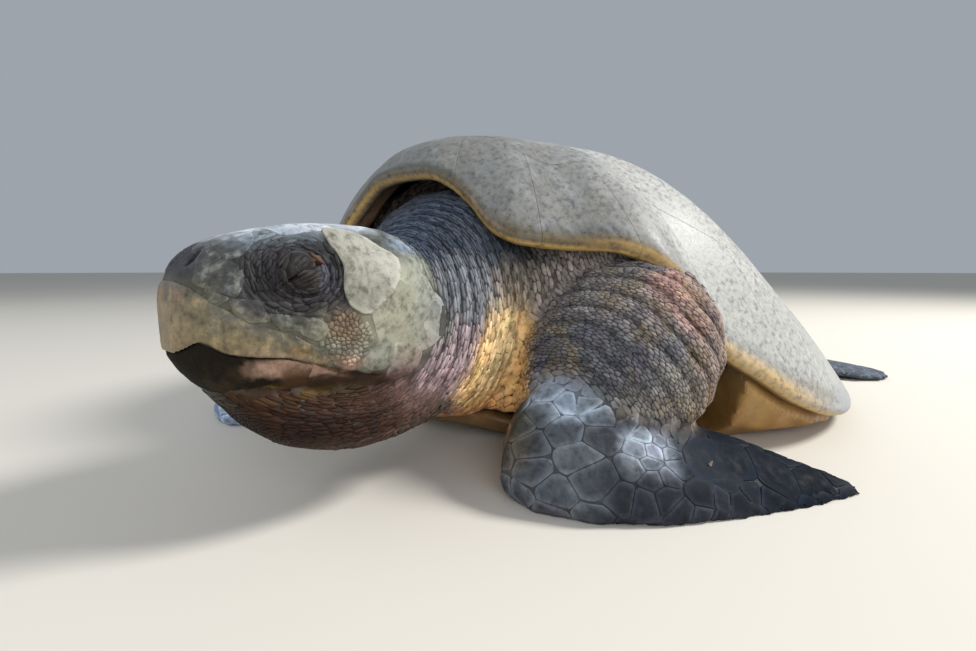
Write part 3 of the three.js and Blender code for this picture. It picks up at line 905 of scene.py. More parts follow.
@dataclass
class Skin:
    """The one skin over head, neck, trunk, limbs and tail, with its folds, lids and markings."""

    size: SkinSize = field(default_factory=SkinSize)

    def build(self) -> None:
        """Makes the skin from the solids of flesh, refines the face and works in the folds."""
        self.piece = remeshed("skin", FLESH + BEAKS + EYES, self.size.voxel)
        edit(self.piece, bpy.ops.mesh.decimate, self.hidden(places(self.piece)), ratio=self.size.hidden_share)
        ease(self.piece, 6)
        self._refine_face()
        self._find_regions()
        self._sculpt()
        bpy.ops.object.select_all(action="DESELECT")

    def hidden(self, points: Array) -> Array:
        """Where the skin lies well under the shell, out of sight.

        Args:
            points: Places in metres.

        Returns:
            Whether each lies where nobody looks.
        """
        mm = points / MM
        share = DOME.share(mm[:, :2])
        deep = (share < 0.86) & (mm[:, 1] > -150) & (mm[:, 1] < 190)
        wide = (share < 0.62) & (mm[:, 1] > -215) & (mm[:, 1] < 230)
        return deep | wide

    def _refine_face(self) -> None:
        """Splits the head's faces once, and those by the eyes and nostrils again."""
        _, back, height = head_axes(places(self.piece))
        split = {"number_cuts": 1, "smoothness": 0}
        edit(self.piece, bpy.ops.mesh.subdivide, (back < 150) & (height > 40), **split)
        side, back, height = head_axes(ease(self.piece, 2))
        _, eye_back, eye_height = self.size.eye
        by_eye = (np.hypot(back - eye_back, height - eye_height) < 22) & (np.abs(side) > 26)
        by_nose = (back < 18) & (height > 138) & (np.abs(side - self.size.nostril_middle) < 16)
        edit(self.piece, bpy.ops.mesh.subdivide, by_eye | by_nose, **split)
        ease(self.piece, 1)

    def _find_regions(self) -> None:
        """Finds how far each place belongs to each region, by its nearest solid."""
        nodes = [node for group in REGIONS.values() for node in group]
        region = np.array([k for k, group in enumerate(REGIONS.values()) for _ in group])
        owner = np.concatenate([np.full(len(triangles(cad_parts[n])), k) for k, n in enumerate(nodes)])
        solid = BVHTree.FromPolygons(*(rows.tolist() for rows in gathered(nodes)))
        nearest = owner[[solid.find_nearest(Vector(p))[2] for p in places(self.piece)]]
        hot, pairs = np.eye(len(REGIONS))[region[nearest]], edges(self.piece)
        beak = np.isin(np.array(nodes)[nearest], BEAKS).astype(float)
        self.under_beak = spread(beak, pairs, 4)
        self.near_beak = 2 * spread(beak, pairs, 30)
        self.sharp = dict(zip(REGIONS, hot.T.copy()))
        self.weights = dict(zip(REGIONS, spread(hot, pairs, 8).T.copy()))
        self.limb = spread(self.sharp["forearm"] + self.sharp["flipper"], pairs, 70)

    def to_left(self, points: Array) -> Array:
        """Places in millimetres, those on the right moved to where they would be on the left side.

        Args:
            points: Places in metres.

        Returns:
            The matching places of the left limb, in millimetres.
        """
        mm = points / MM
        left = np.stack([np.abs(mm[:, 0]), *mm.T[1:]], axis=1)
        limb = (self.weights["forearm"] + self.weights["flipper"]) * (mm[:, 0] < 0)
        arm = self.weights["arm"] * (mm[:, 0] < 0)
        share = np.clip((left[:, 0] - LIMB_ROOT) / (LIMB_LENGTH + LIMB_OUT), 0, 1)
        left[:, 0] -= LIMB_OUT * share * limb
        left[:, 1] += (LIMB_AHEAD - LIMB_LESS * share) * limb + 30 * rise(-left[:, 1], 190, 300) * arm
        left[:, 2] *= 1 + 0.16 * limb
        return left

    def from_left(self, mm: Array, side: Side) -> Array:
        """Places of the left front limb in millimetres, moved to this side's limb.

        Args:
            mm: Places of the left limb in millimetres.
            side: The side wanted.

        Returns:
            The matching places of that side's limb, in millimetres.
        """
        if side is Side.LEFT:
            return mm
        share = np.clip((mm[:, 0] - LIMB_ROOT) / LIMB_LENGTH, 0, 1)
        ahead = LIMB_AHEAD - LIMB_LESS * share
        return np.stack([-(mm[:, 0] + LIMB_OUT * share), mm[:, 1] - ahead, mm[:, 2] * LIMB_FLAT], axis=1)

    def _sculpt(self) -> None:
        """Works the face and the folds into the surface."""
        points, pairs = places(self.piece), edges(self.piece)
        out = unit(spread(normals(self.piece), pairs, 3))
        sunk = points + out * np.full(len(points), -self.size.coat_depth)[:, None] * MM
        sunk = sunk + out * (-self.size.beak_depth * rise(self.under_beak, 0.94, 1.0))[:, None] * MM
        relief = self._face(points) * self.weights["head"] + self._folds(points)
        self.hollow = np.clip(spread(relief, pairs, 14) - relief, 0, 3)
        put(self.piece, self._tucked(sunk + out * relief[:, None] * MM))

    def _tucked(self, points: Array) -> Array:
        """Places lowered to stay under the shell's inner face. It also marks them as tucked.

        Args:
            points: Places in metres.

        Returns:
            The same places, moved.
        """
        mm = points / MM
        ceiling = DOME.over(mm[:, :2])[:, 2] - self.size.clearance
        inside = DOME.share(mm[:, :2]) < 0.985
        self.tucked = inside & (mm[:, 2] > ceiling - 0.5)
        height = np.where(inside, np.minimum(mm[:, 2], ceiling), mm[:, 2])
        return np.stack([*points.T[:2], height * MM], axis=1)

    def slit(self, back: Array, height: Array) -> Array:
        """How far above the line of the closed lids places on the head's side lie."""
        dy, dz = back - self.size.eye[1], height - self.size.eye[2]
        return dz - 0.55 * dy + 0.02 * dy**2 - 0.5

    def _face(self, points: Array) -> Array:
        """Relief of the face in millimetres.

        Args:
            points: Places of the skin.

        Returns:
            Its height at each: orbits, brows, lids and their slits, nostrils and the corners of the mouth.
        """
        s = self.size
        side, back, height = head_axes(points)
        flank = rise(np.abs(side), 18, 32)
        dy, dz = back - s.eye[1], height - s.eye[2]
        around = np.hypot(dy, dz)
        relief = -s.orbit_depth * bell(around - 15, 6) * flank
        brow = bell(height - 163 - 0.12 * (back - 46), 5) * bell(back - 46, 22)
        relief += 2.4 * brow * rise(np.abs(side), 8, 22)
        # lids: a dome, the slit across it, a double fold behind, rings round it and pleats along the slit
        relief += s.lid_height * bell(around, 9.5) * flank
        slit = bell(self.slit(back, height), s.slit_half_width) * bell(dy, 7.5) ** 0.5
        relief -= s.slit_depth * slit * flank
        behind = np.clip(np.cos(np.arctan2(dz, dy) + 0.1), 0, 1)
        relief += (0.9 * bell(around - 10, 1.5) - 1.5 * bell(around - 12.6, 1.3)) * behind * flank
        wobble = 1.6 * GRAIN(points, 12 * MM, 2)
        relief += 0.5 * wave(around + wobble, 3.4) * rise(around, 5, 12) * (1 - rise(around, 22, 34)) * flank
        pleat = self.slit(back + wobble, height + wobble) + 0.8 * GRAIN(points + 3, 5 * MM, 2)
        relief += 0.3 * wave(pleat, 2.5) * bell(around, 9) * flank
        # nostril with its rim
        across = np.abs(side - s.nostril_middle) - s.nostril[0]
        pit = np.hypot(across / 0.85, (height - s.nostril[2]) / 1.15)
        relief += 0.9 * bell(pit - 5.2, 1.8) * (back < 26)
        relief -= s.nostril_depth * (1 - rise(pit, 0.4 * s.nostril_radius, s.nostril_radius)) * (back < 26)
        # line of the mouth, and a swelling at its corner with a groove round it
        mouth = height - Knots(s.mouth)(back)
        relief -= 1.9 * bell(mouth, 1.5) * rise(back, 30, 44) * (1 - rise(back, 76, 92)) * flank
        corner = np.hypot(back - 82, height - 91)
        relief += 1.3 * bell(corner, 7) * flank
        relief -= 0.9 * bell(corner - 10, 2) * flank
        return relief

    def _folds(self, points: Array) -> Array:
        """Relief of the skin folds in millimetres.

        Args:
            points: Places of the skin.

        Returns:
            Its height at each: folds round the neck and over the shoulder, and the apron of yellow skin.
        """
        s, mm, w = self.size, points / MM, self.weights
        near = np.stack([np.abs(mm[:, 0]), *mm.T[1:]], axis=1)
        from_skull = np.linalg.norm(mm - SKULL, axis=1) + 5 * GRAIN(points, 45 * MM, 2)
        from_elbow = np.linalg.norm(near - ELBOW, axis=1) + 7 * GRAIN(points + 0.4, 50 * MM, 2)
        patchy = 0.55 + 0.45 * GRAIN(points + 0.9, 40 * MM, 1)

        def crease(phase: Array, length: float) -> Array:
            """Rounded ridges with sharp creases between them, from 1 down to -1."""
            return 1 - 2 * np.abs(wave(phase, 2 * length)) ** 0.6

        neck = w["neck"] + 0.9 * w["trunk"] * (mm[:, 1] < -200)
        throat = w["head"] * (1 - rise(mm[:, 2], 74, 88)) + w["head"] * rise(mm[:, 1], -372, -355)
        relief = -s.neck_fold_depth * crease(from_skull, s.neck_fold) * patchy * (neck + 0.5 * throat)
        relief -= s.arm_fold_depth * crease(from_elbow, s.arm_fold) * patchy * w["arm"]
        relief += 0.8 * GRAIN(points, 26 * MM, 3) * (w["arm"] + w["thigh"])
        apron = np.linalg.norm((near - [88, -290, 36]) / [48, 30, 16], axis=1)
        return relief + 7 * bell(apron, 1.0) * (w["trunk"] + w["neck"])

    def paint(self) -> None:
        """Works out the skin's colours, with painted shade in the hollows, and stores them darkened by
        painted shade for between the scales.
        """
        points, w = places(self.piece), self.weights
        w["right_blade"] = (w["forearm"] + w["flipper"]) * (points[:, 0] < 0)
        base = sum(w[name][:, None] * np.array(linear(colour)) for name, colour in SKIN_BASE.items())
        base = base / sum(w[name] for name in SKIN_BASE)[:, None]
        colour = painted(points, painted(points, base, SKIN_BLUSHES, w), HEAD_BLUSHES, w)
        colour = colour * (1 + 0.3 * w["head"] * GRAIN(points + 6, 6 * MM, 3))[:, None]
        for k, (stain, share) in enumerate(self.size.stains):
            patch = rise(GRAIN(points + k, 13 * MM, 3), 0.05, 0.4) * w["arm"]
            colour = toward(colour, stain, share * patch)
        by_beak = rise(self.near_beak + 0.5 * GRAIN(points + 8, 6 * MM, 3), 0.1, 0.8) * w["head"]
        _, back, height = head_axes(points)
        by_beak *= rise(height - Knots(self.size.mouth)(back), -1, 5)
        colour = toward(colour, "#5d5a4a", 0.6 * by_beak)
        # Painted shade: hollows and creases are darkened, and those in yellow skin turn brown rather than
        # grey.
        warm = (colour[:, 0] - colour[:, 2]) / (colour[:, 0] + 1e-6)
        warm = np.clip(warm - 0.35, 0, 0.4)[:, None] * [-0.8, 0, 0.8]
        self.colour = colour * np.exp(-self.hollow[:, None] * (0.85 + warm))
        # Painted shade in the gaps between the scales: the stored tint is this share of the colour.
        between = 0.3 + 0.45 * w["head"] + 0.35 * (w["forearm"] + w["flipper"])
        colour_layer(self.piece, "tint", self.colour * between[:, None])

    def dress(self) -> None:
        """Paints the skin and hands it over."""
        self.paint()
        hand_over(self.piece, HIDE.material(), FLESH)


# ---------------------------------------------------------------- scales and plates

# No object of scales has more triangles than this.
MOST_TRIANGLES = 185_000


@dataclass(frozen=True)
class PlateForm:
    """The section of a scale or plate, in millimetres, from its root under the skin to its crown."""

    height: float
    crown: float = 0.0
    bevel: float = 0.5
    seam: float = 0.3
    root: float = 0.8
    rings: int = 0
    corners: int = 14
    sharpness: float = 10.0
    cap: float = 0.9
    edge_light: float = 0.0

    @property
    def angles(self) -> Array:
        """The angles of the corners round the middle."""
        return np.arange(self.corners) / self.corners * 2 * math.pi

    def most(self) -> int:
        """How many such scales one object may hold."""
        return MOST_TRIANGLES // (2 * self.corners * (3 + self.rings))


@dataclass
class Spots:
    """Where scales stand: place, outward normal, lie, and shape. Blocked ones only hold others off."""

    at: Array
    out: Array
    along: Array
    size: Array
    aspect: Array
    colour: Array
    blocked: Array

    @property
    def across(self) -> Array:
        """The direction across the lie."""
        return np.cross(self.out, self.along)

    def only(self, chosen: Array) -> "Spots":
        """The chosen scales alone."""
        return Spots(*(rows[chosen] for rows in vars(self).values()))

    def with_more(self, *others: "Spots") -> "Spots":
        """These scales and the others."""
        return Spots(*map(np.concatenate, zip(*(vars(spots).values() for spots in (self, *others)))))


def laid(rows: Array, out: Array) -> Array:
    """Directions turned into the skin's plane, by its outward normals, at length one."""
    return unit(rows - (rows * out).sum(axis=1, keepdims=True) * out)


def finder(points: Array) -> KDTree:
    """A tree for finding near points.

    Args:
        points: The places.

    Returns:
        The tree, which knows each by its number.
    """
    tree = KDTree(len(points))
    for i, p in enumerate(points):
        tree.insert(p, i)
    tree.balance()
    return tree


class Surface:
    """The finished skin, read once, for laying scales on it."""

    # how far from the skin a pace may end, in metres; draws for each scale wanted; and how near to a
    # scale that has its place others may stand, by its width
    LOOK = 0.006
    TRIES = 4.2
    HOLD_OFF = 0.78

    def __init__(self, piece: bpy.types.Object, colour: Array) -> None:
        """Reads the piece.

        Args:
            piece: The skin.
            colour: Linear colour of each of its vertices, with the painted shade of its hollows.
        """
        self.points = places(piece)
        self.normals = unit(spread(normals(piece), edges(piece), 2))
        self.triangles = triangles(piece)
        self.colour = colour
        self.tree = BVHTree.FromPolygons(self.points.tolist(), self.triangles.tolist())

    def drop(self, points: Array, out: Array, reach: float) -> tuple[Array, Array, Array]:
        """Where points above or below the skin meet it, along their outward direction.

        Args:
            points: Places near the skin.
            out: The direction to look along for each.
            reach: How far away the skin may be, in metres.

        Returns:
            The places on the skin, its normals and its colours there.
        """
        found = []
        for p, d in zip(points, out):
            hit = self.tree.ray_cast(Vector(p + d * reach), Vector(-d), 2 * reach)
            found.append(self.tree.find_nearest(Vector(p)) if hit[0] is None else hit)
        return self._at(found)

    def nearest(self, points: Array) -> tuple[Array, Array, Array]:
        """The nearest places on the skin, its normals and its colours there."""
        return self._at([self.tree.find_nearest(Vector(p)) for p in points])

    def _at(self, found: list[tuple]) -> tuple[Array, Array, Array]:
        """Places on the skin, its normals and its colours there.

        Args:
            found: What the tree returned for each place.

        Returns:
            The places, and the normals and colours blended from the corners of their triangles.
        """
        at = np.array([hit[0] for hit in found])
        corner = self.triangles[[hit[2] for hit in found]]
        weight = 1 / (np.linalg.norm(self.points[corner] - at[:, None], axis=2) + 1e-5)
        weight /= weight.sum(axis=1, keepdims=True)
        normal = unit(np.einsum("ij,ijk->ik", weight, self.normals[corner]))
        return at, normal, np.einsum("ij,ijk->ik", weight, self.colour[corner])

    def pace(self, at: Array, out: Array, heading: Array, length: Array, steps: int) -> tuple[Array, ...]:
        """Walks over the skin, keeping to its surface.

        Args:
            at: Places to start from.
            out: The skin's normals there.
            heading: The direction each walker takes.
            length: How far each walks, in metres.
            steps: Number of equal paces.

        Returns:
            Places, normals and colours at the start and after each pace, by pace and walker.
        """
        track = [(at, out, self.drop(at, out, self.LOOK)[2])]
        for _ in range(steps):
            at, out, colour = self.drop(at + heading * (length / steps)[:, None], out, self.LOOK)
            heading = laid(heading, out)
            track.append((at, out, colour))
        return tuple(np.stack(column) for column in zip(*track))

    def place(self, seeds: Array, along: Array, size: Array, aspect: Array, blocked: bool = False) -> Spots:
        """Scales at given points, moved to the nearest place on the skin.

        Args:
            seeds: Places near the skin, in metres.
            along: The way they lie.
            size: Width of each, in metres.
            aspect: How many times longer than wide each is.
            blocked: Whether these only hold other scales off.

        Returns:
            The scales' places.
        """
        at, out, colour = self.nearest(self.nearest(seeds)[0])
        lie = laid(np.zeros_like(at) + along, out)
        return Spots(at, out, lie, size, aspect, colour, np.full(len(at), blocked))

    def scatter(
        self, zone: Array, size: Array, aspect: Array, along: Array, taken: Spots, seed: int
    ) -> Spots:
        """Spaces scales evenly over a zone of the skin.

        Args:
            zone: For each vertex, whether scales grow there.
            size: For each vertex, the least distance between scales across their grain, in metres.
            aspect: For each vertex, how many times longer than wide a scale is.
            along: For each vertex, the way the scales lie.
            taken: Scales that already have their place.
            seed: Number that fixes the random draws.

        Returns:
            The taken scales and the new ones.
        """
        rng = np.random.default_rng(seed)
        tris = self.triangles[zone[self.triangles].all(axis=1)]
        corner = self.points[tris]
        area = np.linalg.norm(np.cross(corner[:, 1] - corner[:, 0], corner[:, 2] - corner[:, 0]), axis=1) / 2
        wanted = area / (size[tris].mean(axis=1) ** 2 * aspect[tris].mean(axis=1))
        count = int(wanted.sum() * self.TRIES)
        chosen = tris[rng.choice(len(tris), count, p=wanted / wanted.sum())]
        one, two = np.sqrt(rng.random((count, 1))), rng.random((count, 1))
        weight = np.hstack([1 - one, one * (1 - two), one * two])
        rows = (self.points, self.normals, along, size, aspect, self.colour)
        blended = (np.einsum("ij,ij...->i...", weight, each[chosen]) for each in rows)
        at, out, lie, size, aspect, colour = blended
        out = unit(out)
        tried = Spots(at, out, laid(lie, out), size, aspect, colour, np.zeros(count, bool))
        free, kept = np.ones(count, bool), []
        tree = finder(tried.at)
        for p, width, stretch in zip(taken.at, taken.size, taken.aspect):
            near = [i for _, i, _ in tree.find_range(p, self.HOLD_OFF * width * math.sqrt(stretch))]
            free[near] = False
        lie, across = tried.along, tried.across
        for i in range(count):
            if not free[i]:
                continue
            kept.append(i)
            width, stretch = tried.size[i], tried.aspect[i]
            near = np.array([k for _, k, _ in tree.find_range(at[i], width * max(1.0, stretch))])
            gap = at[near] - at[i]
            far = ((gap @ lie[i]) / stretch) ** 2 + (gap @ across[i]) ** 2 + (gap @ out[i]) ** 2
            free[near[far < width**2]] = False
        return taken.with_more(tried.only(np.array(kept)))


# How many neighbours bound a scale, what share of the gap to each is its own, how far apart two
# scales may face and still meet, and the least cosine and reach in metres that are worked with.
NEIGHBOURS = 26
SHARE_OF_GAP = (0.07, 0.93)
FACING = -0.2
LEAST_COSINE = 0.02
LEAST_REACH = 2e-4


def outlines(spots: Spots, chosen: Array, form: PlateForm) -> Array:
    """How far chosen scales reach to each of their corners, where they meet all their neighbours.

    Args:
        spots: All scales' places.
        chosen: Numbers of the scales wanted.
        form: Their section, which holds the seam between them.

    Returns:
        Reach in metres by scale and corner, before the aspect stretches it.
    """
    tree = finder(spots.at)
    around = min(NEIGHBOURS, len(spots.at))
    near = np.array([[k for _, k, _ in tree.find_n(spots.at[i], around)] for i in chosen])
    mine = spots.only(chosen)
    gap = spots.at[near] - mine.at[:, None]
    a, b, above = (np.einsum("pkc,pc->pk", gap, axis) for axis in (mine.along, mine.across, mine.out))
    a = a / mine.aspect[:, None]
    apart = np.where(above > 0, np.hypot(a, b) + above, np.sqrt(a**2 + b**2 + above**2))
    reach = mine.size * np.sqrt(mine.aspect)
    part = reach[:, None] / (reach[:, None] + (spots.size * np.sqrt(spots.aspect))[near])
    counts = (np.einsum("pkc,pc->pk", spots.out[near], mine.out) > FACING) & (apart > 1e-6)
    half = np.where(counts, apart * np.clip(part, *SHARE_OF_GAP) - form.seam * MM, 1.0)
    cosine = np.cos(form.angles[None, None, :] - np.arctan2(b, a)[:, :, None])
    walls = np.where(cosine > LEAST_COSINE, half[:, :, None] / np.maximum(cosine, LEAST_COSINE), 1.0)
    cap = (form.cap * mine.size)[:, None]
    total = (np.maximum(walls, LEAST_REACH) ** -form.sharpness).sum(axis=1) + cap**-form.sharpness
    return total ** (-1 / form.sharpness)


@dataclass
class Stack:
    """Closed plates of one form over flat ground, as rings of corners and two middles."""

    local: Array
    fraction: Array
    spoke: Array
    inner: Array
    faces: list[tuple[int, ...]]

    @classmethod
    def raised(cls, reach: Array, aspect: Array, form: PlateForm) -> "Stack":
        """Raises plates over their outlines.

        Args:
            reach: Distance from the middle to each corner, by plate and corner.
            aspect: How much each plate is stretched along its grain.
            form: The plates' section.

        Returns:
            The plates.
        """
        count, n = reach.shape
        bevel = np.minimum(form.bevel * MM, 0.42 * reach)
        # each ring: share of the bevel it is set in, share of the outline, height, how far in it counts
        rings = [(0.0, 1.0, -form.root, 0.0), (0.0, 1.0, 0.45 * form.height, 0.0)]
        if form.rings:
            rings.append((0.4, 1.0, 0.85 * form.height, 0.1))
        rings.append((1.0, 1.0, form.height, 0.2))
        for k in range(1, form.rings):
            share = 1 - k / form.rings
            rings.append((1.0, share, form.height + form.crown * (1 - share**2), 1 - 0.8 * share))
        flat, depth, fraction = [], [], []
        for inset, share, height, inner in rings:
            r = (reach - inset * bevel) * share
            fraction.append(r / reach)
            ring = [r * np.cos(form.angles) * aspect[:, None], r * np.sin(form.angles), 0 * r + height * MM]
            flat.append(np.stack(ring, axis=-1))
            depth += [inner] * n
        middle = np.zeros((count, 2, 3))
        middle[:, 0, 2] = (form.height + form.crown) * MM
        middle[:, 1, 2] = -form.root * MM
        local = np.concatenate(flat + [middle], axis=1)
        top, bottom, faces = len(rings) * n, len(rings) * n + 1, []
        for i in range(n):
            a, b = i, (i + 1) % n
            for j in range(0, (len(rings) - 1) * n, n):
                faces.append((j + a, j + b, j + b + n, j + a + n))
            faces.append((bottom, b, a))
            faces.append((top, top - n + a, top - n + b))
        fraction = np.concatenate(fraction + [np.zeros((count, 2))], axis=1)
        spoke = np.concatenate([np.tile(np.arange(n), len(rings)), [0, 0]])
        return cls(local, fraction, spoke, np.tile(np.array(depth + [1.0, 0.0]), (count, 1)), faces)

    @property
    def stride(self) -> int:
        """Vertices in one plate."""
        return self.local.shape[1]

    def all_faces(self) -> list[tuple[int, ...]]:
        """The faces of all plates."""
        return [tuple(v + k * self.stride for v in f) for k in range(len(self.local)) for f in self.faces]


# How far scales differ in brightness and in tinge.
BRIGHTER, TINGED = 0.24, 0.03


def wander(count: int, seed: int) -> Array:
    """A slightly different brightness and tinge around 1 for a count of scales, by a seed."""
    rng = np.random.default_rng(seed)
    return (1 + BRIGHTER * rng.uniform(-1, 1, (count, 1))) * (1 + TINGED * rng.uniform(-1, 1, (count, 3)))


# Measures of the unwrap: below this height is the underside, the body's reach and height in metres
# that fill the square, and half the size of a scale's patch.
UNDERSIDE, HALF_LENGTH, TALLEST, PATCH = 0.03, 0.7, 0.28, 0.0015


def unwrap(piece: bpy.types.Object, root: Array, patch: Array) -> None:
    """Gives each scale its own small patch at its root's place on an unwrap of the skin's shape.

    Args:
        piece: The scales, as one object.
        root: For each vertex, the place of its scale's root, in metres.
        patch: For each vertex, its own place within the scale, from -1 to 1 on two axes.
    """
    x, y, z = root.T
    under = z < UNDERSIDE
    turn = np.arctan2(x, -y) / (2 * math.pi) + 0.5
    # the underside fills the upper half of the square
    up = 0.02 + 0.46 * np.where(under, np.hypot(x, y) / HALF_LENGTH, z / TALLEST) + 0.5 * under
    uv = np.clip(np.stack([turn, up], axis=1) * 0.96 + 0.02 + patch * PATCH, 0, 1)
    corner = read(piece.data.loops, "vertex_index", 1, np.int32)
    piece.data.uv_layers.new(name="OFBake").data.foreach_set("uv", uv[corner].ravel())


def lay(
    name: str, surface: Surface, spots: Spots, reach: Array, form: PlateForm, seed: int, paces: int = 0
) -> bpy.types.Object:
    """Makes one object of scales over the skin.

    Args:
        name: The object's name.
        surface: The skin.
        spots: The scales' places.
        reach: Their outlines.
        form: Their section.
        seed: Number that fixes their brightness.
        paces: In how many steps each plate is felt out over the skin, or 0 for small flat scales.

    Returns:
        The object, with colours, edge wear and its unwrap.
    """
    stack, count, n = Stack.raised(reach, spots.aspect, form), len(spots.at), form.corners
    if paces:
        turn = [np.cos(form.angles) * spots.aspect[:, None], np.tile(np.sin(form.angles), (count, 1))]
        flat = np.stack(turn, axis=-1)
        heading = flat[..., :1] * spots.along[:, None] + flat[..., 1:] * spots.across[:, None]
        length = np.linalg.norm(flat, axis=-1) * reach
        start = [np.repeat(rows, n, axis=0) for rows in (spots.at, spots.out)]
        track = surface.pace(*start, unit(heading.reshape(-1, 3)), length.ravel(), paces)
        place = np.clip(stack.fraction * paces, 0, paces - 1e-6)
        low = place.astype(int)
        share = (place - low)[..., None]
        walker = np.arange(count)[:, None] * n + stack.spoke[None]
        points, out, colour = (
            ((1 - share) * rows[low, walker] + share * rows[low + 1, walker]).reshape(-1, 3) for rows in track
        )
        out = unit(out)
    else:
        a, b = stack.local[:, :, 0, None], stack.local[:, :, 1, None]
        points = (spots.at[:, None] + (a * spots.along[:, None] + b * spots.across[:, None])).reshape(-1, 3)
        out, colour = (np.repeat(rows, stack.stride, axis=0) for rows in (spots.out, spots.colour))
    piece = made(name, points + out * stack.local[:, :, 2].reshape(-1, 1), stack.all_faces())
    colour = colour * np.repeat(wander(count, seed), stack.stride, axis=0)
    colour *= 1 + form.edge_light * (1 - rise(stack.inner.reshape(-1, 1), 0.1, 0.5))
    colour_layer(piece, "tint", colour)
    value_layer(piece, "inner", stack.inner.ravel())
    patch = stack.local[:, :, :2] / np.abs(stack.local[:, :, :2]).max(axis=(1, 2), keepdims=True)
    unwrap(piece, np.repeat(spots.at, stack.stride, axis=0), patch.reshape(-1, 2))
    return piece


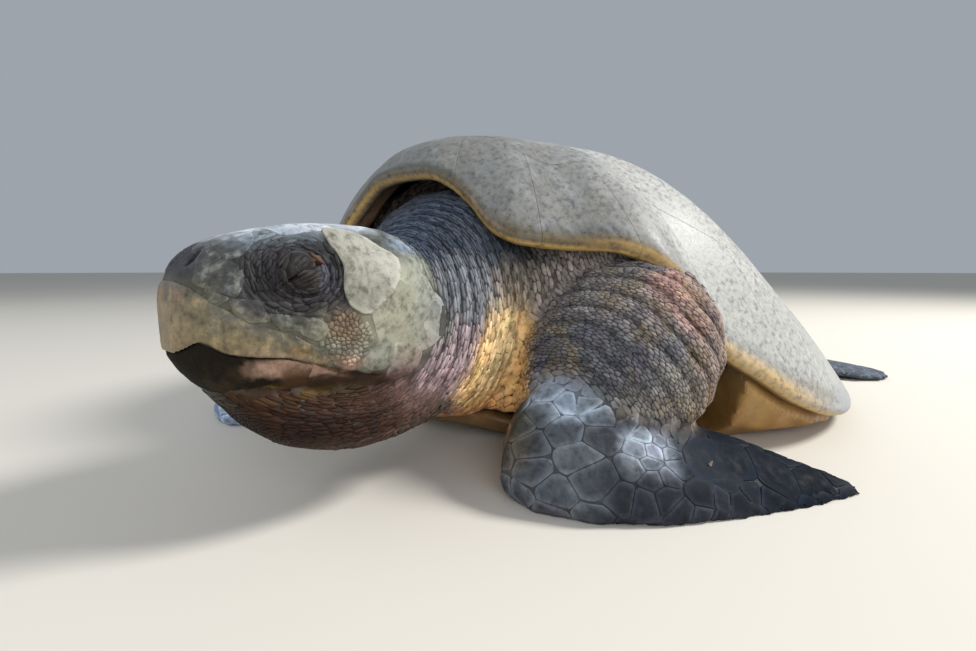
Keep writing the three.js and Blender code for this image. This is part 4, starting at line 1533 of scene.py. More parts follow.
@dataclass
class Coat:
    """The scales over the skin: granules on neck and shoulders, larger scales on limbs and head."""

    skin: Skin
    surface: Surface
    granule: PlateForm = PlateForm(height=0.65, bevel=0.5, seam=0.1, corners=7, sharpness=16, cap=1.05)
    fold_scale: PlateForm = PlateForm(
        height=0.7, bevel=0.7, seam=0.12, rings=2, corners=12, sharpness=22, cap=1.3
    )
    limb_scale: PlateForm = PlateForm(
        height=0.65, crown=0.3, bevel=0.8, seam=0.2, rings=3, corners=24, sharpness=30, cap=1.3,
        edge_light=0.8,
    )
    head_plate: PlateForm = PlateForm(
        height=0.3, crown=0.25, bevel=1.2, seam=0.03, rings=5, corners=40, sharpness=20, cap=1.3,
        edge_light=0.3,
    )
    temple_plate: PlateForm = PlateForm(height=1.0, crown=0.5, bevel=0.9, root=1.2, rings=9, corners=110)
    # width and stretch of the scales by region, and width of the shoulder's rows
    widths: tuple[tuple[str, float, float], ...] = (
        ("neck", 1.4, 5.0), ("trunk", 2.3, 2.6), ("tail", 3.2, 1.1), ("thigh", 3.4, 1.4),
        ("head", 1.35, 4.6), ("hind", 7.5, 1.3),
    )
    row_width: float = 1.45
    eyeball_radius: float = 9.2
    mask_radius: float = 21.5
    smoothing: int = 14
    middling: float = 3.5
    large: float = 5.6
    armpit: tuple[float, float, float] = (223, -266, 45)
    ahead_of_eye: float = 0.86
    beak_out: tuple[tuple[float, float], ...] = ((0, 12), (12, 25), (24, 34), (40, 43), (65, 50))
    # across the limb's length: the width of its plates, wide at the shoulder's end
    plate_width: tuple[tuple[float, float], ...] = (
        (100, 13.5), (170, 12.5), (205, 10.5), (240, 9), (300, 7)
    )
    temple: tuple[tuple[float, float, float], ...] = (
        (22, 65, 165.5), (30, 80, 165), (43, 89, 157), (51, 102, 147), (55, 93, 131), (53, 75, 116),
        (50, 64, 127), (47, 67, 145), (34, 64, 160),
    )
    edge_scales: tuple[tuple[float, float, float, float], ...] = (
        (226, -262, 34, 22), (243, -246, 27, 24), (262, -228, 18, 22), (281, -212, 12, 17),
    )
    head_seeds: tuple[tuple[float, float, float, float, float], ...] = (
        (7.5, 27, 160, 15, 1.3), (20, 25, 155, 11, 1.2), (9, 45, 166, 14, 1.2), (0, 64, 169, 21, 1.2),
        (21, 52, 166, 13, 1.6), (17, 84, 169, 20, 1.2), (6, 106, 168, 20, 1.2), (17, 11, 149, 9, 1.1),
        (30, 102, 163, 19, 1.2), (46, 110, 149, 15, 1.1), (57, 104, 117, 36, 1.0),
        (28, 16, 138, 12, 1.2), (26, 10, 128, 9, 1.1), (37, 24, 123, 10, 1.3), (43, 38, 115, 9, 1.6),
        (47, 50, 112, 7, 1.4), (50, 84, 92, 12, 1.15), (53, 99, 90, 11, 1.0),
    )

    def build(self) -> None:
        """Finds the place of every scale and makes each kind."""
        taken = self._hand_placed()
        spots = self.surface.scatter(*self._lie(), taken, seed=11)
        big, tiny = spots.size > self.large * MM, spots.size < self.middling * MM
        on_head = np.arange(len(spots.at)) < self.count_head
        kinds = (
            ("granules", tiny & ~on_head, self.granule, 0),
            ("fold_scales", ~tiny & ~big & ~on_head, self.fold_scale, 4),
            ("limb_scales", big & ~on_head, self.limb_scale, 5),
            ("head_plates", on_head, self.head_plate, 6),
        )
        self.pieces = []
        for name, kind, form, paces in kinds:
            chosen = np.flatnonzero(kind & ~spots.blocked)
            for part, numbers in enumerate(np.array_split(chosen, 1 + len(chosen) // form.most())):
                reach = outlines(spots, numbers, form)
                title, mine = f"{name}_{part}", spots.only(numbers)
                self.pieces.append(lay(title, self.surface, mine, reach, form, 100 + part, paces))
                LOG.info("%s: %d scales", title, len(numbers))
        self.pieces += [self._temple(side) for side in Side]

    def _temple(self, side: Side) -> bpy.types.Object:
        """The large pale plate behind one eye, with its ragged front edge.

        Args:
            side: Which eye.

        Returns:
            The plate.
        """
        rim = np.array([on_head(side.value * out, back, height) for out, back, height in self.temple])
        middle, width = rim.mean(axis=0, keepdims=True), np.array([20 * MM])
        centre = self.surface.place(middle, [0, 1.0, 0], width, np.ones(1))
        closed, steps = np.vstack([rim, rim[:1]]), np.linspace(0, 1, 14)[:-1, None]
        gap = np.concatenate([a + (b - a) * steps for a, b in zip(closed, closed[1:])]) - centre.at
        across, along = gap @ centre.across[0], gap @ centre.along[0]
        angle, away = np.arctan2(across, along), np.hypot(across, along)
        order = np.argsort(angle)
        form = self.temple_plate
        reach = np.interp(form.angles, angle[order], away[order], period=2 * math.pi)
        ragged = GRAIN(np.stack([np.cos(form.angles), np.sin(form.angles), 0 * reach], axis=1), 0.12, 3)
        for _ in range(self.smoothing):
            reach = 0.5 * reach + 0.25 * (np.roll(reach, 1) + np.roll(reach, -1))
        reach = reach * (1 + 0.04 * ragged)
        piece = lay(f"temple_plate_{side.word}", self.surface, centre, reach[None], form, 5, 12)
        points = places(piece)
        out, back, height = head_axes(points)
        streaks = GRAIN(np.stack([out, back - height, 3 * (back + height)], axis=1) * MM, 6 * MM, 3)
        # Painted highlight: the plate turns paler towards its upper rear.
        painted_highlight = rise(0.9 * (back - 66) + 0.5 * (height - 130) + 8 * GRAIN(points, 12 * MM, 2), 2, 34)
        colour = toward(plain(points, "#7f7e71"), "#a09e93", painted_highlight) * (1 + 0.3 * streaks[:, None])
        inner = read(piece.data.attributes["inner"].data, "value")
        fringe = (1 - rise(inner, 0.2, 0.26)) * (0.55 + 0.45 * GRAIN(points + 2, 9 * MM, 2))
        piece.data.attributes.remove(piece.data.attributes["tint"])
        colour_layer(piece, "tint", toward(colour, "#c9c6b4", 0.6 * fringe))
        return piece

    def dress(self) -> None:
        """Gives all scales their finish."""
        scale, face, flipper = (finish.material() for finish in (SCALE, FACE, FLIPPER_PLATE))
        kinds = {"head": face, "temple": face, "limb": flipper}
        for piece in self.pieces:
            hand_over(piece, kinds.get(piece.name.split("_")[0], scale), FLESH)

    def _hand_placed(self) -> Spots:
        """The head's plates, the large scales of the flippers' rear edges, and what holds others off.

        Returns:
            The spots, with the head's first.
        """
        seeds = [
            (*on_head(mirror * side, back, height), width * MM, stretch)
            for side, back, height, width, stretch in self.head_seeds
            for mirror in ((1, -1) if side else (1,))
        ]
        self.count_head = len(seeds)
        seeds = np.array(seeds)
        groups = [self.surface.place(seeds[:, :3], [0, 1, 0], seeds[:, 3], seeds[:, 4])]
        edge = np.array(self.edge_scales)
        for side in Side:
            place = self.skin.from_left(edge[:, :3], side) * MM
            along = [0.75 * side.value, 0.66, 0]
            groups.append(self.surface.place(place, along, edge[:, 3] * MM, np.full(len(edge), 1.15)))
        block = np.array([spot for side in Side for spot in self._blocked(side)])
        width, stretch = block[:, 3] * MM, np.ones(len(block))
        groups.append(self.surface.place(block[:, :3], [0, 1, 0], width, stretch, True))
        return groups[0].with_more(*groups[1:])

    def _blocked(self, side: Side) -> list[tuple[float, ...]]:
        """Places of one side that stay free, in metres, each with its width in millimetres.

        Args:
            side: The side.

        Returns:
            For each spot its place and its width.
        """
        s, mirror, spots = self.skin.size, side.value, []
        for turn in range(0, 360, 15):
            up, along = math.sin(math.radians(turn)), math.cos(math.radians(turn))
            back = s.eye[1] + (23 if along > 0 else 23 / self.ahead_of_eye) * along
            spots.append((*on_head(mirror * (44 - 8 * max(up, 0)), back, s.eye[2] + 21 * up), 2.0))
        spots.append((*on_head(s.nostril_middle + mirror * s.nostril[0], s.nostril[1], s.nostril[2]), 6.0))
        spots.append((*self.skin.from_left(np.array([self.armpit]), side)[0] * MM, 9.0))
        spots += [(*on_head(mirror * 50, back, Knots(s.mouth)(back)), 3.0) for back in range(44, 88, 6)]
        out, top = Knots(self.beak_out), Knots(BEAK_TOP)
        spots += [(*on_head(mirror * out(back), back, top(back) - 1.5), 1.6) for back in range(2, 62, 4)]
        return spots

    def _lie(self) -> tuple[Array, Array, Array, Array]:
        """How small scales lie.

        Returns:
            For each place of the skin: whether they grow there, their width in metres, their stretch and
            their direction.
        """
        points, out, w = self.surface.points, self.surface.normals, self.skin.weights
        mm, left = points / MM, self.skin.to_left(points)
        side, back, height = head_axes(points)
        mirror = np.where(mm[:, :1] < 0, -1.0, 1.0) * [1, 0, 0] + [0, 1, 1]
        size, aspect = (sum(w[row[0]] * row[k] for row in self.widths) for k in (1, 2))
        # limbs: fine rows at the shoulder grow into broad plates on the flipper
        limb = w["arm"] + w["forearm"] + w["flipper"]
        grown = rise(self.skin.limb, 0.12, 0.9)
        broad = Knots(self.plate_width)(left[:, 0])
        # where glare is painted on the plates by the elbow, they are smaller
        bright = bell(np.linalg.norm(left - [210, -290, 38], axis=1), 20)
        size += limb * self.row_width * (broad / self.row_width) ** grown * (1 - 0.4 * bright)
        aspect += limb * (2.6 - 1.35 * grown)
        yellow = rise(mm[:, 1], -325, -300) * (1 - rise(left[:, 2], 110, 130)) * (w["trunk"] + w["neck"])
        size += yellow * (4.4 - size)
        aspect += yellow * (1.5 - aspect)
        # direction: round the skull on neck and throat, round the elbow on the shoulder, then outwards
        along = unit(np.cross(out, mm - SKULL)) * (w["neck"] + w["head"] + w["trunk"])[:, None]
        outward = limb * rise(self.skin.limb, 0.55, 0.85)
        along += unit(np.cross(out, (left - ELBOW) * mirror)) * (limb - outward)[:, None]
        for lie, share in (([0.8, 0.6, 0], outward), ([1.0, 0.1, 0], w["thigh"] + w["hind"])):
            along += lie * mirror * share[:, None]
        along += np.array([0, 1.0, 0]) * w["tail"][:, None]
        # lids: rings round the eye, with the slit and the eyeball bare
        eye, head = self.skin.size.eye, self.skin.sharp["head"] > 0.5
        behind, over = back - eye[1], height - eye[2]
        from_eye = np.hypot(behind, over)
        mask = np.hypot(behind * np.where(back < eye[1], self.ahead_of_eye, 1.0), over)
        lid = (mask < self.mask_radius) & (np.abs(side) > 22) & head
        slit = np.abs(self.skin.slit(back, height)) < 1.4
        bare = (from_eye < self.eyeball_radius) | (slit & (from_eye < 11.5))
        gaze = np.array([1.0, 0, 0]) * np.sign(side)[:, None]
        along = np.where(lid[:, None], np.cross(gaze, np.stack([0 * behind, behind, over], axis=-1)), along)
        cheek = (np.hypot((back - 62) / 17, (height - 106) / 15) < 1) & (np.abs(side) > 30) & ~lid
        cheek &= self.skin.under_beak < 0.3
        size = np.where(lid, 0.95 + 0.035 * mask, np.where(cheek, 1.8, size))
        size = size * (1 + 0.3 * GRAIN(points, 9 * MM, 2))
        aspect = np.where(lid, 3.0, np.where(cheek, 1.25, aspect))
        zone = ~self.skin.hidden(points) & ~self.skin.tucked
        zone &= ~(head & ~self._throat(back, height)) | lid | cheek
        return zone & ~(bare & lid), size * MM, aspect, along + 1e-6

    def _throat(self, back: Array, height: Array) -> Array:
        """Where the head's underside and nape carry granules rather than plates."""
        lip = Knots(self.skin.size.mouth)(back) - 5 - 11 * (1 - rise(back, 60, 74))
        return ((height < lip) & (back > 14) & (self.skin.under_beak < 0.1)) | (back > 118)


# ---------------------------------------------------------------- shell, belly, beak, eyes and claws


def grid_faces(rows: int, columns: int, start: int = 0, flipped: bool = False) -> list[tuple[int, ...]]:
    """Four-cornered faces over a grid of vertices.

    Args:
        rows: Rows of vertices.
        columns: Vertices in a row.
        start: Number of the first vertex.
        flipped: Whether the faces look the other way.

    Returns:
        The numbers of each face's vertices.
    """
    faces = []
    for i in range(rows - 1):
        for j in range(columns - 1):
            a = start + i * columns + j
            face = (a, a + columns, a + columns + 1, a + 1)
            faces.append(face[::-1] if flipped else face)
    return faces


def grid_normals(grid: Array) -> Array:
    """Normals of a grid of places, by its rows and columns."""
    return unit(np.cross(np.gradient(grid, axis=0), np.gradient(grid, axis=1)))


def edge_distance(grid: Array) -> Array:
    """For each place of a grid, how far it is from the grid's nearest side.

    Args:
        grid: Places by row and column.

    Returns:
        The distances by row and column, in the same unit.
    """
    best = np.full(grid.shape[:2], np.inf)
    for axis in (0, 1):
        step = np.linalg.norm(np.diff(grid, axis=axis), axis=-1)
        along = np.cumsum(step, axis=axis)
        pad = [(0, 0), (0, 0)]
        pad[axis] = (1, 0)
        ahead = np.pad(along, pad)
        total = np.take(ahead, [-1], axis=axis)
        best = np.minimum(best, np.minimum(ahead, total - ahead))
    return best


# Steps close to an end, in millimetres, which round a plate's edge, and where even steps begin.
NEAR_ENDS = np.array([0.0, 0.35, 0.8, 1.6, 3.2])
PAST_ENDS = 6.5


def packed_steps(count: int, length: float) -> Array:
    """Steps over a length.

    Args:
        count: How many even steps lie between the close ones at both ends.
        length: The length, in millimetres.

    Returns:
        Shares of the length, from 0 to 1.
    """
    near, past = NEAR_ENDS / length, PAST_ENDS / length
    return np.concatenate([near, np.linspace(past, 1 - past, count), 1 - near[::-1]])


def inset(steps: Array) -> Array:
    """Steps from 0 to 1 drawn in a little at both ends, which leaves a seam between plates."""
    return steps * 0.997 + 0.0015


@dataclass
class Slabs:
    """Several closed plates gathered into one object, each from a grid of its outer face."""

    name: str
    thickness: float = 2.0
    round_off: float = 0.25
    round_over: float = 0.7
    points: list[Array] = field(default_factory=list)
    faces: list[tuple[int, ...]] = field(default_factory=list)
    away: list[Array] = field(default_factory=list)

    def add(self, grid: Array, relief: Callable[[Array, Array], Array] | None = None) -> None:
        """Adds a plate.

        Args:
            grid: Places of its outer face in millimetres, by row and column, seen from outside
                with rows running down and columns to the right.
            relief: Height over the face in millimetres, from the places and their distance to the edge.
        """
        rows, columns = grid.shape[:2]
        out, away = grid_normals(grid), edge_distance(grid)
        height = -self.round_off * np.exp(-away / self.round_over)
        if relief is not None:
            height = height + relief(grid, away)
        outer = grid + out * height[..., None]
        inner = grid - out * self.thickness
        start, count = sum(len(p) for p in self.points), rows * columns
        self.points += [outer.reshape(-1, 3), inner.reshape(-1, 3)]
        self.faces += grid_faces(rows, columns, start)
        self.faces += grid_faces(rows, columns, start + count, True)
        # the wall between both faces, round the grid's border
        ring = [*range(columns)] + [i * columns + columns - 1 for i in range(1, rows)]
        ring += [(rows - 1) * columns + j for j in range(columns - 2, -1, -1)]
        ring += [i * columns for i in range(rows - 2, 0, -1)]
        for a, b in zip(ring, ring[1:] + ring[:1]):
            self.faces.append((start + a, start + b, start + count + b, start + count + a))
        self.away += [away.ravel(), 0 * away.ravel()]

    def build(self) -> bpy.types.Object:
        """Joins the plates.

        Returns:
            The object.
        """
        self.piece = made(self.name, np.concatenate(self.points) * MM, self.faces)
        edit(self.piece, bpy.ops.mesh.normals_make_consistent, inside=False)
        value_layer(self.piece, "away", np.concatenate(self.away))
        return self.piece


@dataclass
class Carapace:
    """The back shell: vertebral, costal and marginal plates and the nuchal over a core."""

    vertebrals: int = 6
    vertebral_half: float = 64.0
    waist: float = 0.62
    narrowing: float = 0.45
    overlap: float = 3.0
    nuchal_half_angle: float = 10.9
    marginals: int = 13
    seam_angles: tuple[float, ...] = (36, 60, 84, 108, 131, 154)
    gap: float = 0.12
    rim_gap: float = 0.03
    nose: float = 4.6
    under: float = 30.0
    bone: tuple[float, float] = (0.8, 8.2)
    bone_inset: float = 6.0
    roll: float = 1.5

    def build(self) -> None:
        """Makes the plates and the core."""
        radius = DOME.radius
        self.front = -(float(radius(0.0)) - DOME.MARGINAL_WIDTH) - self.overlap
        self.step = (float(radius(180.0)) - DOME.MARGINAL_WIDTH + self.overlap - self.front) / self.vertebrals
        groups = {"vertebral_scutes": self._vertebral_grids()}
        rim = self._marginal_grids()
        groups["nuchal_scute"] = [rim.pop(len(rim) // 2)]
        for side in Side:
            groups[f"costal_scutes_{side.word}"] = self._costal_grids(side)
            half = len(rim) // 2
            groups[f"marginal_scutes_{side.word}"] = rim[half:] if side is Side.LEFT else rim[:half]
        self.pieces = {}
        for name, grids in groups.items():
            slabs = Slabs(name + "_horn")
            for grid in grids:
                slabs.add(grid, self._relief)
            self.pieces[name] = slabs.build()
        self.core = self._core()

    def half_width(self, y: Array) -> Array:
        """Half the width of the row of vertebral plates at a plan depth, pinched at every seam.

        Args:
            y: Depths in plan, in millimetres.

        Returns:
            The half widths in millimetres.
        """
        index = np.arange(self.vertebrals)
        middles, seams = self.front + self.step * (index + 0.5), self.front + self.step * (index + 1)
        knots = np.concatenate([[self.front], middles, seams])
        at_seam = self.waist * self._wide(index + 1)
        widths = np.concatenate([[self.waist * self._wide(0)], self._wide(index), at_seam])
        order = np.argsort(knots)
        return np.interp(y, knots[order], widths[order])

    def _wide(self, number: Array) -> Array:
        """Half the width of the vertebral plates by their number, less towards the tail."""
        return self.vertebral_half * (1 - self.narrowing * (number / self.vertebrals) ** 2)

    def field_edge(self, angle: Array) -> Array:
        """Plan place of the seam between costals and marginals, at angles in degrees.

        Args:
            angle: Angles in degrees.

        Returns:
            Places in plan, in millimetres.
        """
        r = DOME.radius(np.abs(angle)) - DOME.MARGINAL_WIDTH
        turn = np.radians(angle)
        return np.stack([r * np.sin(turn), -r * np.cos(turn)], axis=-1)

    def _vertebral_grids(self) -> list[Array]:
        """Outer faces of the middle row.

        Returns:
            The grids, from front to rear.
        """
        grids, across = [], packed_steps(13, 2 * self.vertebral_half)
        for k in range(self.vertebrals):
            down = packed_steps(13, self.step)
            y = self.front + self.step * (k + down * (1 - 2 * self.gap / self.step) + self.gap / self.step)
            half = self.half_width(y) - self.gap
            x = (2 * across[None, :] - 1) * half[:, None]
            plan = np.stack([x, np.repeat(y[:, None], len(across), axis=1)], axis=-1)
            grids.append(self._raise(plan))
        return grids

    def _costal_grids(self, side: Side) -> list[Array]:
        """Outer faces of the plates between the middle row and the rim's row on one side.

        Args:
            side: The side.

        Returns:
            The grids, from front to rear.
        """
        middle = [self.front] + [self.front + self.step * (k + 0.5) for k in range(self.vertebrals)]
        middle.append(self.front + self.step * self.vertebrals)
        turns = [self._front_turn(), *self.seam_angles, 180.0 - 3.0]
        grids = []
        for k in range(len(middle) - 1):
            down = inset(packed_steps(12, 80.0))
            y = middle[k] + (middle[k + 1] - middle[k]) * down
            inner = np.stack([self.half_width(y) + self.gap, y], axis=-1)
            outer = self.field_edge(turns[k] + (turns[k + 1] - turns[k]) * down)
            outer -= unit(outer) * 0.05
            share = packed_steps(14, 150.0)[None, :, None]
            plan = inner[:, None] + (outer - inner)[:, None] * share
            plan[..., 0] *= side.value
            grids.append(self._raise(plan if side is Side.RIGHT else plan[:, ::-1])[:, ::-1])
        return grids

    def _front_turn(self) -> float:
        """Angle at which the field's edge meets the front corner of the first vertebral."""
        return math.degrees(math.asin(self.waist * self.vertebral_half / abs(self.front)))

    def _raise(self, plan: Array) -> Array:
        """Plan places lifted onto the dome."""
        return DOME.over(plan.reshape(-1, 2)).reshape(*plan.shape[:2], 3)

    def _marginal_grids(self) -> list[Array]:
        """Outer faces of the rim's row, each rolled over the rim to the underside, from right to left.

        Returns:
            The grids.
        """
        edges_left = np.linspace(self.nuchal_half_angle, 180, self.marginals + 1)
        bounds = np.concatenate([-edges_left[::-1], edges_left])
        return [self._rim_grid(a, b) for a, b in zip(bounds[:-1], bounds[1:])]

    def _rim_grid(self, first: float, last: float) -> Array:
        """The rim's outer face.

        Args:
            first: Angle of its one end, in degrees.
            last: Angle of its other end.

        Returns:
            Places by row and column: rows run down over the edge, round its nose and back under.
        """
        gap = self.rim_gap / self.marginals
        angle = first + (last - first) * (packed_steps(14, 66.0) * (1 - 2 * gap) + gap)
        edge = DOME.rim(angle)
        apex = np.array([0, DOME.APEX_Y])
        length = np.linalg.norm(edge - apex, axis=1)
        bearing = np.unwrap(np.arctan2(edge[:, 0], DOME.APEX_Y - edge[:, 1]))
        inner = self.field_edge(DOME.angles)
        inner_bearing = np.unwrap(np.arctan2(inner[:, 0], DOME.APEX_Y - inner[:, 1]))
        inner_reach = np.hypot(inner[:, 0], inner[:, 1] - DOME.APEX_Y)
        start = (np.interp(bearing, inner_bearing, inner_reach) + 0.1) / length
        end = 1 - self.nose / length
        tip, before = DOME.at(angle, end), DOME.at(angle, end - 1e-3)
        run = unit(tip - before)
        flat = unit(np.column_stack([edge - apex, 0 * length]))
        out = unit(np.column_stack([flat[:, :2] * -run[:, 2:3], (run * flat).sum(axis=1)]))
        rows = [DOME.at(angle, start + (end - start) * t) for t in packed_steps(9, 44.0)[:-4]]
        for bend in np.radians([0, 22, 45, 68, 90, 112, 135, 158, 180]):
            rows.append(tip - out * self.nose + self.nose * (out * np.cos(bend) + run * np.sin(bend)))
        back = unit(run * 0.55 + flat * 0.45)
        for deep in (0.2, 0.45, 0.75, 1.0):
            rows.append(tip - 2 * self.nose * out - back * self.under * deep)
        return np.stack(rows)[:, ::-1]

    def _relief(self, grid: Array, away: Array) -> Array:
        """Height of wear, growth lines and the rolled rim over the plates.

        Args:
            grid: Places of a plate's face in millimetres.
            away: Their distance to the plate's edge.

        Returns:
            The height in millimetres.
        """
        flat = grid.reshape(-1, 3)
        from_rim = DOME.from_rim(flat[:, :2]).reshape(away.shape)
        wear = 0.9 * GRAIN(flat * MM, 90 * MM, 2) + 0.25 * GRAIN(flat * MM + 3, 14 * MM, 2)
        height = wear.reshape(away.shape) * rise(away, 0, 9)
        height += 0.07 * wave(away, 5.5) * np.exp(-away / 16)
        height += self.roll * (bell(from_rim - 7, 6) - 0.6 * bell(from_rim - 22, 8))
        return height

    def _core(self) -> bpy.types.Object:
        """The bony shell under the plates, seen in their seams and from below.

        Returns:
            The core.
        """
        angle = np.linspace(-180, 180, 217)[:-1]
        shares = np.linspace(0.02, 1.0, 40)
        length = np.linalg.norm(DOME.rim(angle) - [0, DOME.APEX_Y], axis=1)
        grid = np.stack([DOME.at(angle, share * (1 - self.bone_inset / length)) for share in shares])
        closed = np.concatenate([grid[:, -1:], grid, grid[:, :1]], axis=1)
        out = grid_normals(closed)[:, 1:-1]
        out *= np.sign(out[..., 2:3] + 1e-9)
        top, low = (grid - out * depth for depth in self.bone)
        n = len(angle)
        points = np.concatenate([top.reshape(-1, 3), low.reshape(-1, 3)])
        points = np.vstack([points, *([0, DOME.APEX_Y, DOME.TOP - depth] for depth in self.bone)])
        count, faces = len(shares) * n, []
        for j in range(n):
            k = (j + 1) % n
            for i in range(len(shares) - 1):
                a, b, c, d = i * n + j, i * n + k, (i + 1) * n + k, (i + 1) * n + j
                faces += [(a, b, c, d), (count + d, count + c, count + b, count + a)]
            last = (len(shares) - 1) * n
            faces.append((last + j, last + k, count + last + k, count + last + j))
            faces += [(2 * count, k, j), (2 * count + 1, count + j, count + k)]
        piece = made("carapace_core", points * MM, faces)
        edit(piece, bpy.ops.mesh.normals_make_consistent, inside=False)
        return piece

    def _colours(self, piece: bpy.types.Object, away: Array) -> Array:
        """Worn grey horn, mottled blue-grey at the front and side and darkened there with painted shade,
        paler at the rear, partly with painted glare, and ochre at its rim, with painted shade under the rim.

        Args:
            piece: The plates.
            away: Each vertex's distance to its plate's edge.

        Returns:
            Linear colour of each vertex.
        """
        points = places(piece)
        mm = points / MM
        angle, from_rim = DOME.find(mm[:, :2])[0], DOME.from_rim(mm[:, :2])
        below = DOME.over(mm[:, :2])[:, 2] - mm[:, 2]
        under, sill = rise(below, 14, 18), 0.9 * (1 - rise(from_rim, 12, 20))
        cloud, fine = GRAIN(points, 60 * MM, 4), GRAIN(points + 5, 13 * MM, 3)
        grit = GRAIN(points + 9, 4 * MM, 2)
        front = 1 - rise(mm[:, 1], -250, -185)
        patches = (
            # the shares that grow towards the front darken it with painted shade
            ("#151f2e", (0.1 + 0.7 * front) * rise(cloud + 0.8 * fine + 0.4 * grit, -0.15, 0.45)),
            # paler towards the rear: partly the horn's own pale grey, partly painted glare
            ("#a0a2a3", 0.92 * rise(mm[:, 1] + 36 * cloud + 20 * fine, -244, -190)),
            ("#858c94", (0.45 - 0.1 * front) * rise(-fine - 0.6 * grit, 0.15, 0.5)),
            ("#2b323c", (0.12 + 0.5 * front) * rise(grit + 0.4 * fine, 0.1, 0.4)),
            ("#827a5e", 0.5 * bell(from_rim - 6, 2) * (np.abs(angle) < 75)),
            ("#cda965", 0.95 * bell(from_rim - 0.5, 2.8) * (1 - rise(np.abs(angle), 56, 76))),
            ("#f0d69c", 0.95 * (1 - rise(from_rim, 0.4, 2.0)) * (1 - rise(np.abs(angle), 56, 76))),
            # painted shade in the groove inside the rolled rim, at the front
            ("#1f2b3a", 0.7 * front * bell(from_rim - 23, 9)),
            ("#c0bdb0", 0.35 * (1 - rise(away, 0.4, 1.6)) * rise(from_rim, 6, 12)),
            ("#c2a05e", sill * rise(below, 2.5, 5)),
            # painted shade deeper under the rim's edge
            ("#76613e", sill * rise(below, 9, 13)),
            ("#8a6c54", 0.95 * under * (1 - rise(np.abs(angle), 60, 85))),
            ("#a78450", 0.95 * under * rise(np.abs(angle), 60, 85)),
        )
        colour = plain(points, "#1f3049")
        for patch, weight in patches:
            colour = toward(colour, patch, np.clip(weight, 0, 1))
        return colour

    def dress(self) -> None:
        """Gives the plates worn horn and the core its seam colour."""
        horn = WORN_HORN.material()
        for node, piece in self.pieces.items():
            away = read(piece.data.attributes["away"].data, "value")
            colour_layer(piece, "tint", self._colours(piece, away))
            hand_over(piece, horn, (node,))
        points = places(self.core)
        tint = plain(points, "#8c8774")
        tint[normals(self.core)[:, 2] < 0] = linear("#a8845f")
        tint *= 1 + 0.2 * GRAIN(points, 30 * MM, 3)[:, None]
        colour_layer(self.core, "tint", tint)
        hand_over(self.core, horn, tuple(self.pieces))


@dataclass
class Plastron:
    """The belly plates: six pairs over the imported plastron's form."""

    lift: tuple[tuple[float, float], ...] = ((-285, 24), (-225, 6), (-180, 0), (170, 0), (255, 10))
    half: tuple[tuple[float, float], ...] = (
        (-284, 22), (-262, 78), (-215, 130), (-150, 176), (-90, 204), (-20, 225), (40, 222), (90, 203),
        (130, 174), (205, 104), (256, 32),
    )
    seams: tuple[float, ...] = (-284, -232, -158, -72, 22, 122, 200, 256)
    thickness: float = 11.5

    def build(self) -> None:
        """Makes the plates, with their faces down."""
        slabs = Slabs("plastron_horn", thickness=self.thickness, round_off=0.9)
        lift, half = Knots(self.lift), Knots(self.half)
        for first, last in zip(self.seams[:-1], self.seams[1:]):
            for side in Side:
                y = first + (last - first) * (0.003 + 0.994 * packed_steps(10, last - first))
                share = inset(packed_steps(16, 170.0))
                x = share[None, :] * half(y)[:, None]
                z = lift(y)[:, None] + 7 * share[None, :] ** 8
                grid = np.stack([x * side.value, np.repeat(y[:, None], len(share), axis=1), z], axis=-1)
                slabs.add(grid if side is Side.RIGHT else grid[:, ::-1], self._relief)
        self.piece = slabs.build()

    def _relief(self, grid: Array, away: Array) -> Array:
        """Growth lines."""
        return 0.08 * wave(away, 6) * np.exp(-away / 18) - 0.1

    def dress(self) -> None:
        """Gives the plates belly horn."""
        points = places(self.piece)
        tint = toward(plain(points, "#c2a468"), "#8f6c35", 0.35 * rise(GRAIN(points, 60 * MM, 3), 0, 0.6))
        # Painted shade: the front end, under the neck, is darkened.
        tint = toward(tint, "#6d4e2c", 0.85 * (1 - rise(points[:, 1], -0.27, -0.2)))
        colour_layer(self.piece, "tint", tint)
        hand_over(self.piece, BELLY_HORN.material(), ("plastron",))


@dataclass
class Horn:
    """A part worked up from its own solid: remeshed finely, smoothed, shaped and painted."""

    name: str
    nodes: tuple[str, ...]
    slot: Slot
    finish: Finish
    voxel: float
    base: str
    blushes: tuple[Blush, ...] = ()
    smoothing: int = 6
    push: float = 0.2
    relief: Callable[[Array, Array], Array] | None = None
    border: tuple[tuple[float, float], ...] = ()

    def build(self) -> None:
        """Shapes the part."""
        self.piece = remeshed(self.name, self.nodes, self.voxel)
        points = ease(self.piece, self.smoothing)
        out = normals(self.piece)
        height = np.full(len(points), self.push)
        if self.relief is not None:
            height = height + self.relief(points, out)
        if self.border:
            _, back, up = head_axes(points)
            height -= 1.2 * rise(up - Knots(self.border)(back), -7, -1.0)
        put(self.piece, points + out * height[:, None] * MM)

    def dress(self) -> None:
        """Paints the part and hands it over."""
        points = places(self.piece)
        colour = painted(points, plain(points, self.base), self.blushes, {})
        if self.border:
            _, back, height = head_axes(points)
            near = height - Knots(self.border)(back) + 9 * GRAIN(points, 7 * MM, 3)
            colour = toward(colour, "#4c4a3e", rise(near, -13, -2))
        colour_layer(self.piece, "tint", colour)
        hand_over(self.piece, self.finish.material(), self.nodes)


def beak_relief(points: Array, out: Array) -> Array:
    """Faint upright striations on the beak's sides.

    Args:
        points: Places in metres.
        out: The outward directions there.

    Returns:
        The height in millimetres.
    """
    side, back, _ = head_axes(points)
    around = np.arctan2(side, 60 - back)
    return 0.05 * np.sin(around * 130 + 2 * GRAIN(points, 10 * MM, 2)) + 0.2 * GRAIN(points, 9 * MM, 3)


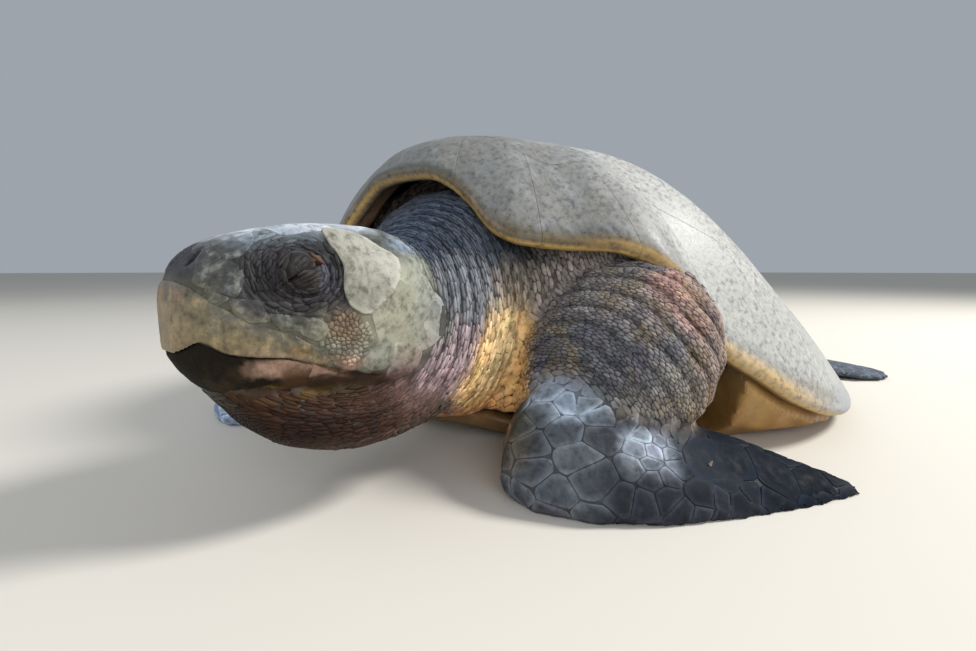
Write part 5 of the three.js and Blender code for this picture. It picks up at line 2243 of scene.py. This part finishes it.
BEAK_TOP = ((0, 141), (12, 129), (24, 119), (40, 113), (53, 104), (65, 91))
BEAK_BLUSHES = (
    Blush("#6f6a58", (14, 20, 128), (40, 40, 14), 0.6, 0.4, 0.3, "head_beak"),
    Blush("#86745a", (0, 2, 110), (20, 16, 24), 0.6, 0.5, 0.3, "head_beak"),
    Blush("#8f6f5f", (8, 3, 136), (12, 8, 8), 0.8, 0.5, 0.5, "head_beak", 6),
    Blush("#66604c", (26, 20, 122), (14, 16, 9), 0.7, 0.5, 0.5, "head_beak", 7),
    Blush("#84705b", (38, 30, 100), (16, 24, 6), 0.6, 0.5, 0.3, "head_beak"),
    Blush("#86673a", (43, 48, 104), (14, 10, 4), 0.95, 0.4, 0.5, "head_beak", 6),
    Blush("#4a3420", (40, 57, 97), (12, 9, 4.5), 0.85, 0.4, 0.6, "head_beak", 5),
    Blush("#231a13", (44, 44, 110), (16, 2.2, 6), 0.95, 0.4, 0.4, "head_beak", 4),
)
LOWER_BLUSHES = (
    Blush("#a58774", (42, 46, 95), (16, 30, 5.5), 0.9, 0.35, 0.4, "head_beak", 5),
    Blush("#4a3523", (40, 50, 86), (20, 16, 9), 0.85, 0.4, 0.7, "head_beak", 5),
    Blush("#6b5222", (34, 30, 83), (12, 8, 2.4), 0.9, 0.3, 0.7, "head_beak", 5),
    Blush("#3f3523", (30, 12, 82), (20, 10, 12), 0.4, 0.4, 0.9, "head_beak", 4),
)
BRIDGE_BLUSHES = (
    Blush("#b8965a", (232, -140, 60), (30, 70, 40), 0.6, 0.5, 0.4, grain=30),
    Blush("#86602f", (215, -155, 30), (26, 40, 40), 0.6, 0.5, 0.4, grain=30),
    Blush("#8d8b78", (228, -160, 90), (20, 30, 30), 0.5, 0.5, 0.4, grain=20),
)


def solid_parts() -> list[Horn]:
    """Beaks, bridges and claws, each from its own solid.

    Returns:
        The parts, not yet built.
    """
    parts = [
        Horn("upper_beak_horn", ("upper_beak",), Slot.BEAK, BEAK_HORN, 0.95, "#716548", BEAK_BLUSHES,
             36, 0.25, beak_relief, BEAK_TOP),
        Horn("lower_beak_horn", ("lower_beak",), Slot.BEAK, DARK_BEAK, 1.5, "#17120b", LOWER_BLUSHES,
             6, -0.7, beak_relief),
    ]
    for side in Side:
        parts.append(
            Horn(f"bridge_{side.word}_horn", (f"bridge_{side.word}",), Slot.BELLY, BELLY_HORN, 3.0, "#946f3c",
                 BRIDGE_BLUSHES, 10, 0.0)
        )
        parts.append(
            Horn(f"claw_{side.word}_horn", (f"claw_{side.word}",), Slot.CLAW, CLAW_HORN, 0.6, "#8f8273",
                 (), 4, 0.1)
        )
    return parts


@dataclass
class Eyes:
    """Two dark, wet eyes behind nearly closed lids."""

    radius: float = 9.5
    out: float = 36.5
    back: float = 47.5
    height: float = 142.5

    def build(self) -> None:
        """Makes both eyeballs."""
        self.pieces = []
        for side in Side:
            bpy.ops.object.select_all(action="DESELECT")
            at = on_head(side.value * self.out, self.back, self.height)
            bpy.ops.mesh.primitive_uv_sphere_add(
                segments=40, ring_count=24, radius=self.radius * MM, location=at
            )
            ball = bpy.context.object
            ball.name = f"eyeball_{side.word}"
            bpy.ops.object.transform_apply(location=True, rotation=True, scale=True)
            bpy.ops.object.shade_smooth()
            self.pieces.append(ball)

    def dress(self) -> None:
        """Gives the eyes a dark wet look."""
        material = WET_EYE.material()
        for side, ball in zip(Side, self.pieces):
            colour_layer(ball, "tint", plain(places(ball), "#1a1412"))
            hand_over(ball, material, (f"eye_{side.word}",))


# ---------------------------------------------------------------- stage, light and camera


@dataclass(frozen=True)
class Softbox:
    """An area lamp: where it stands, what it looks at, its size and power."""

    name: str
    at: tuple[float, float, float]
    toward: tuple[float, float, float]
    width: float
    watts: float
    colour: str

    def place(self) -> None:
        """Adds the lamp."""
        lamp = bpy.data.lights.new(self.name, "AREA")
        lamp.shape, lamp.size, lamp.energy, lamp.color = "DISK", self.width, self.watts, linear(self.colour)
        thing = bpy.data.objects.new(self.name, lamp)
        thing.location = self.at
        look = Vector(self.toward) - Vector(self.at)
        thing.rotation_euler = look.to_track_quat("-Z", "Y").to_euler()
        bpy.context.scene.collection.objects.link(thing)


@dataclass
class Studio:
    """A plain pale floor, soft light and the camera."""

    floor_half: float = 30.0
    floor_colour: str = "#cfcac0"
    world_colour: str = "#dfe8f2"
    world_strength: float = 0.46
    lens_mm: float = 16.6
    camera_at: tuple[float, float, float] = (0.2922, -0.5507, 0.1422)
    camera_turn: tuple[float, float, float] = (82.97, 0.0, 38.98)
    lamps: tuple[Softbox, ...] = (
        Softbox("key", (1.7, 1.1, 1.9), (0.0, -0.1, 0.1), 0.7, 93.0, "#fffdf9"),
        Softbox("sky_fill", (-1.2, -1.9, 1.5), (0.0, -0.2, 0.1), 2.4, 21.0, "#f6f9ff"),
        Softbox("front_fill", (1.7, -1.5, 0.9), (0.1, -0.2, 0.1), 1.8, 21.0, "#fbfbff"),
    )

    def build(self) -> None:
        """Adds the floor, the world, the lamps and the camera."""
        scene = bpy.context.scene
        h = self.floor_half
        floor = made("floor", [(-h, -h, 0), (h, -h, 0), (h, h, 0), (-h, h, 0)], [(0, 1, 2, 3)])
        material = bpy.data.materials.new("matte_floor")
        material.use_nodes = True
        shader = material.node_tree.nodes["Principled BSDF"]
        shader.inputs["Base Color"].default_value = (*linear(self.floor_colour), 1)
        shader.inputs["Roughness"].default_value = 0.9
        floor.data.materials.append(material)
        world = bpy.data.worlds.new("soft_sky")
        world.use_nodes = True
        background = world.node_tree.nodes["Background"]
        background.inputs["Color"].default_value = (*linear(self.world_colour), 1)
        background.inputs["Strength"].default_value = self.world_strength
        scene.world = world
        for lamp in self.lamps:
            lamp.place()
        camera = bpy.data.objects.new("camera", bpy.data.cameras.new("camera"))
        camera.data.lens, camera.data.sensor_width = self.lens_mm, 36.0
        camera.location = self.camera_at
        camera.rotation_euler = [math.radians(a) for a in self.camera_turn]
        camera.data.clip_start = 0.01
        scene.collection.objects.link(camera)
        scene.camera = camera
        scene.view_settings.view_transform = "Standard"


def main() -> None:
    """Builds every sub-assembly in order and dresses it."""
    logging.basicConfig(level=logging.INFO, format="%(message)s")
    skin = Skin()
    skin.build()
    skin.dress()
    coat = Coat(skin, Surface(skin.piece, skin.colour))
    coat.build()
    coat.dress()
    for part in (Carapace(), Plastron(), *solid_parts(), Eyes()):
        part.build()
        part.dress()
    Studio().build()


if __name__ == "__main__":
    main()
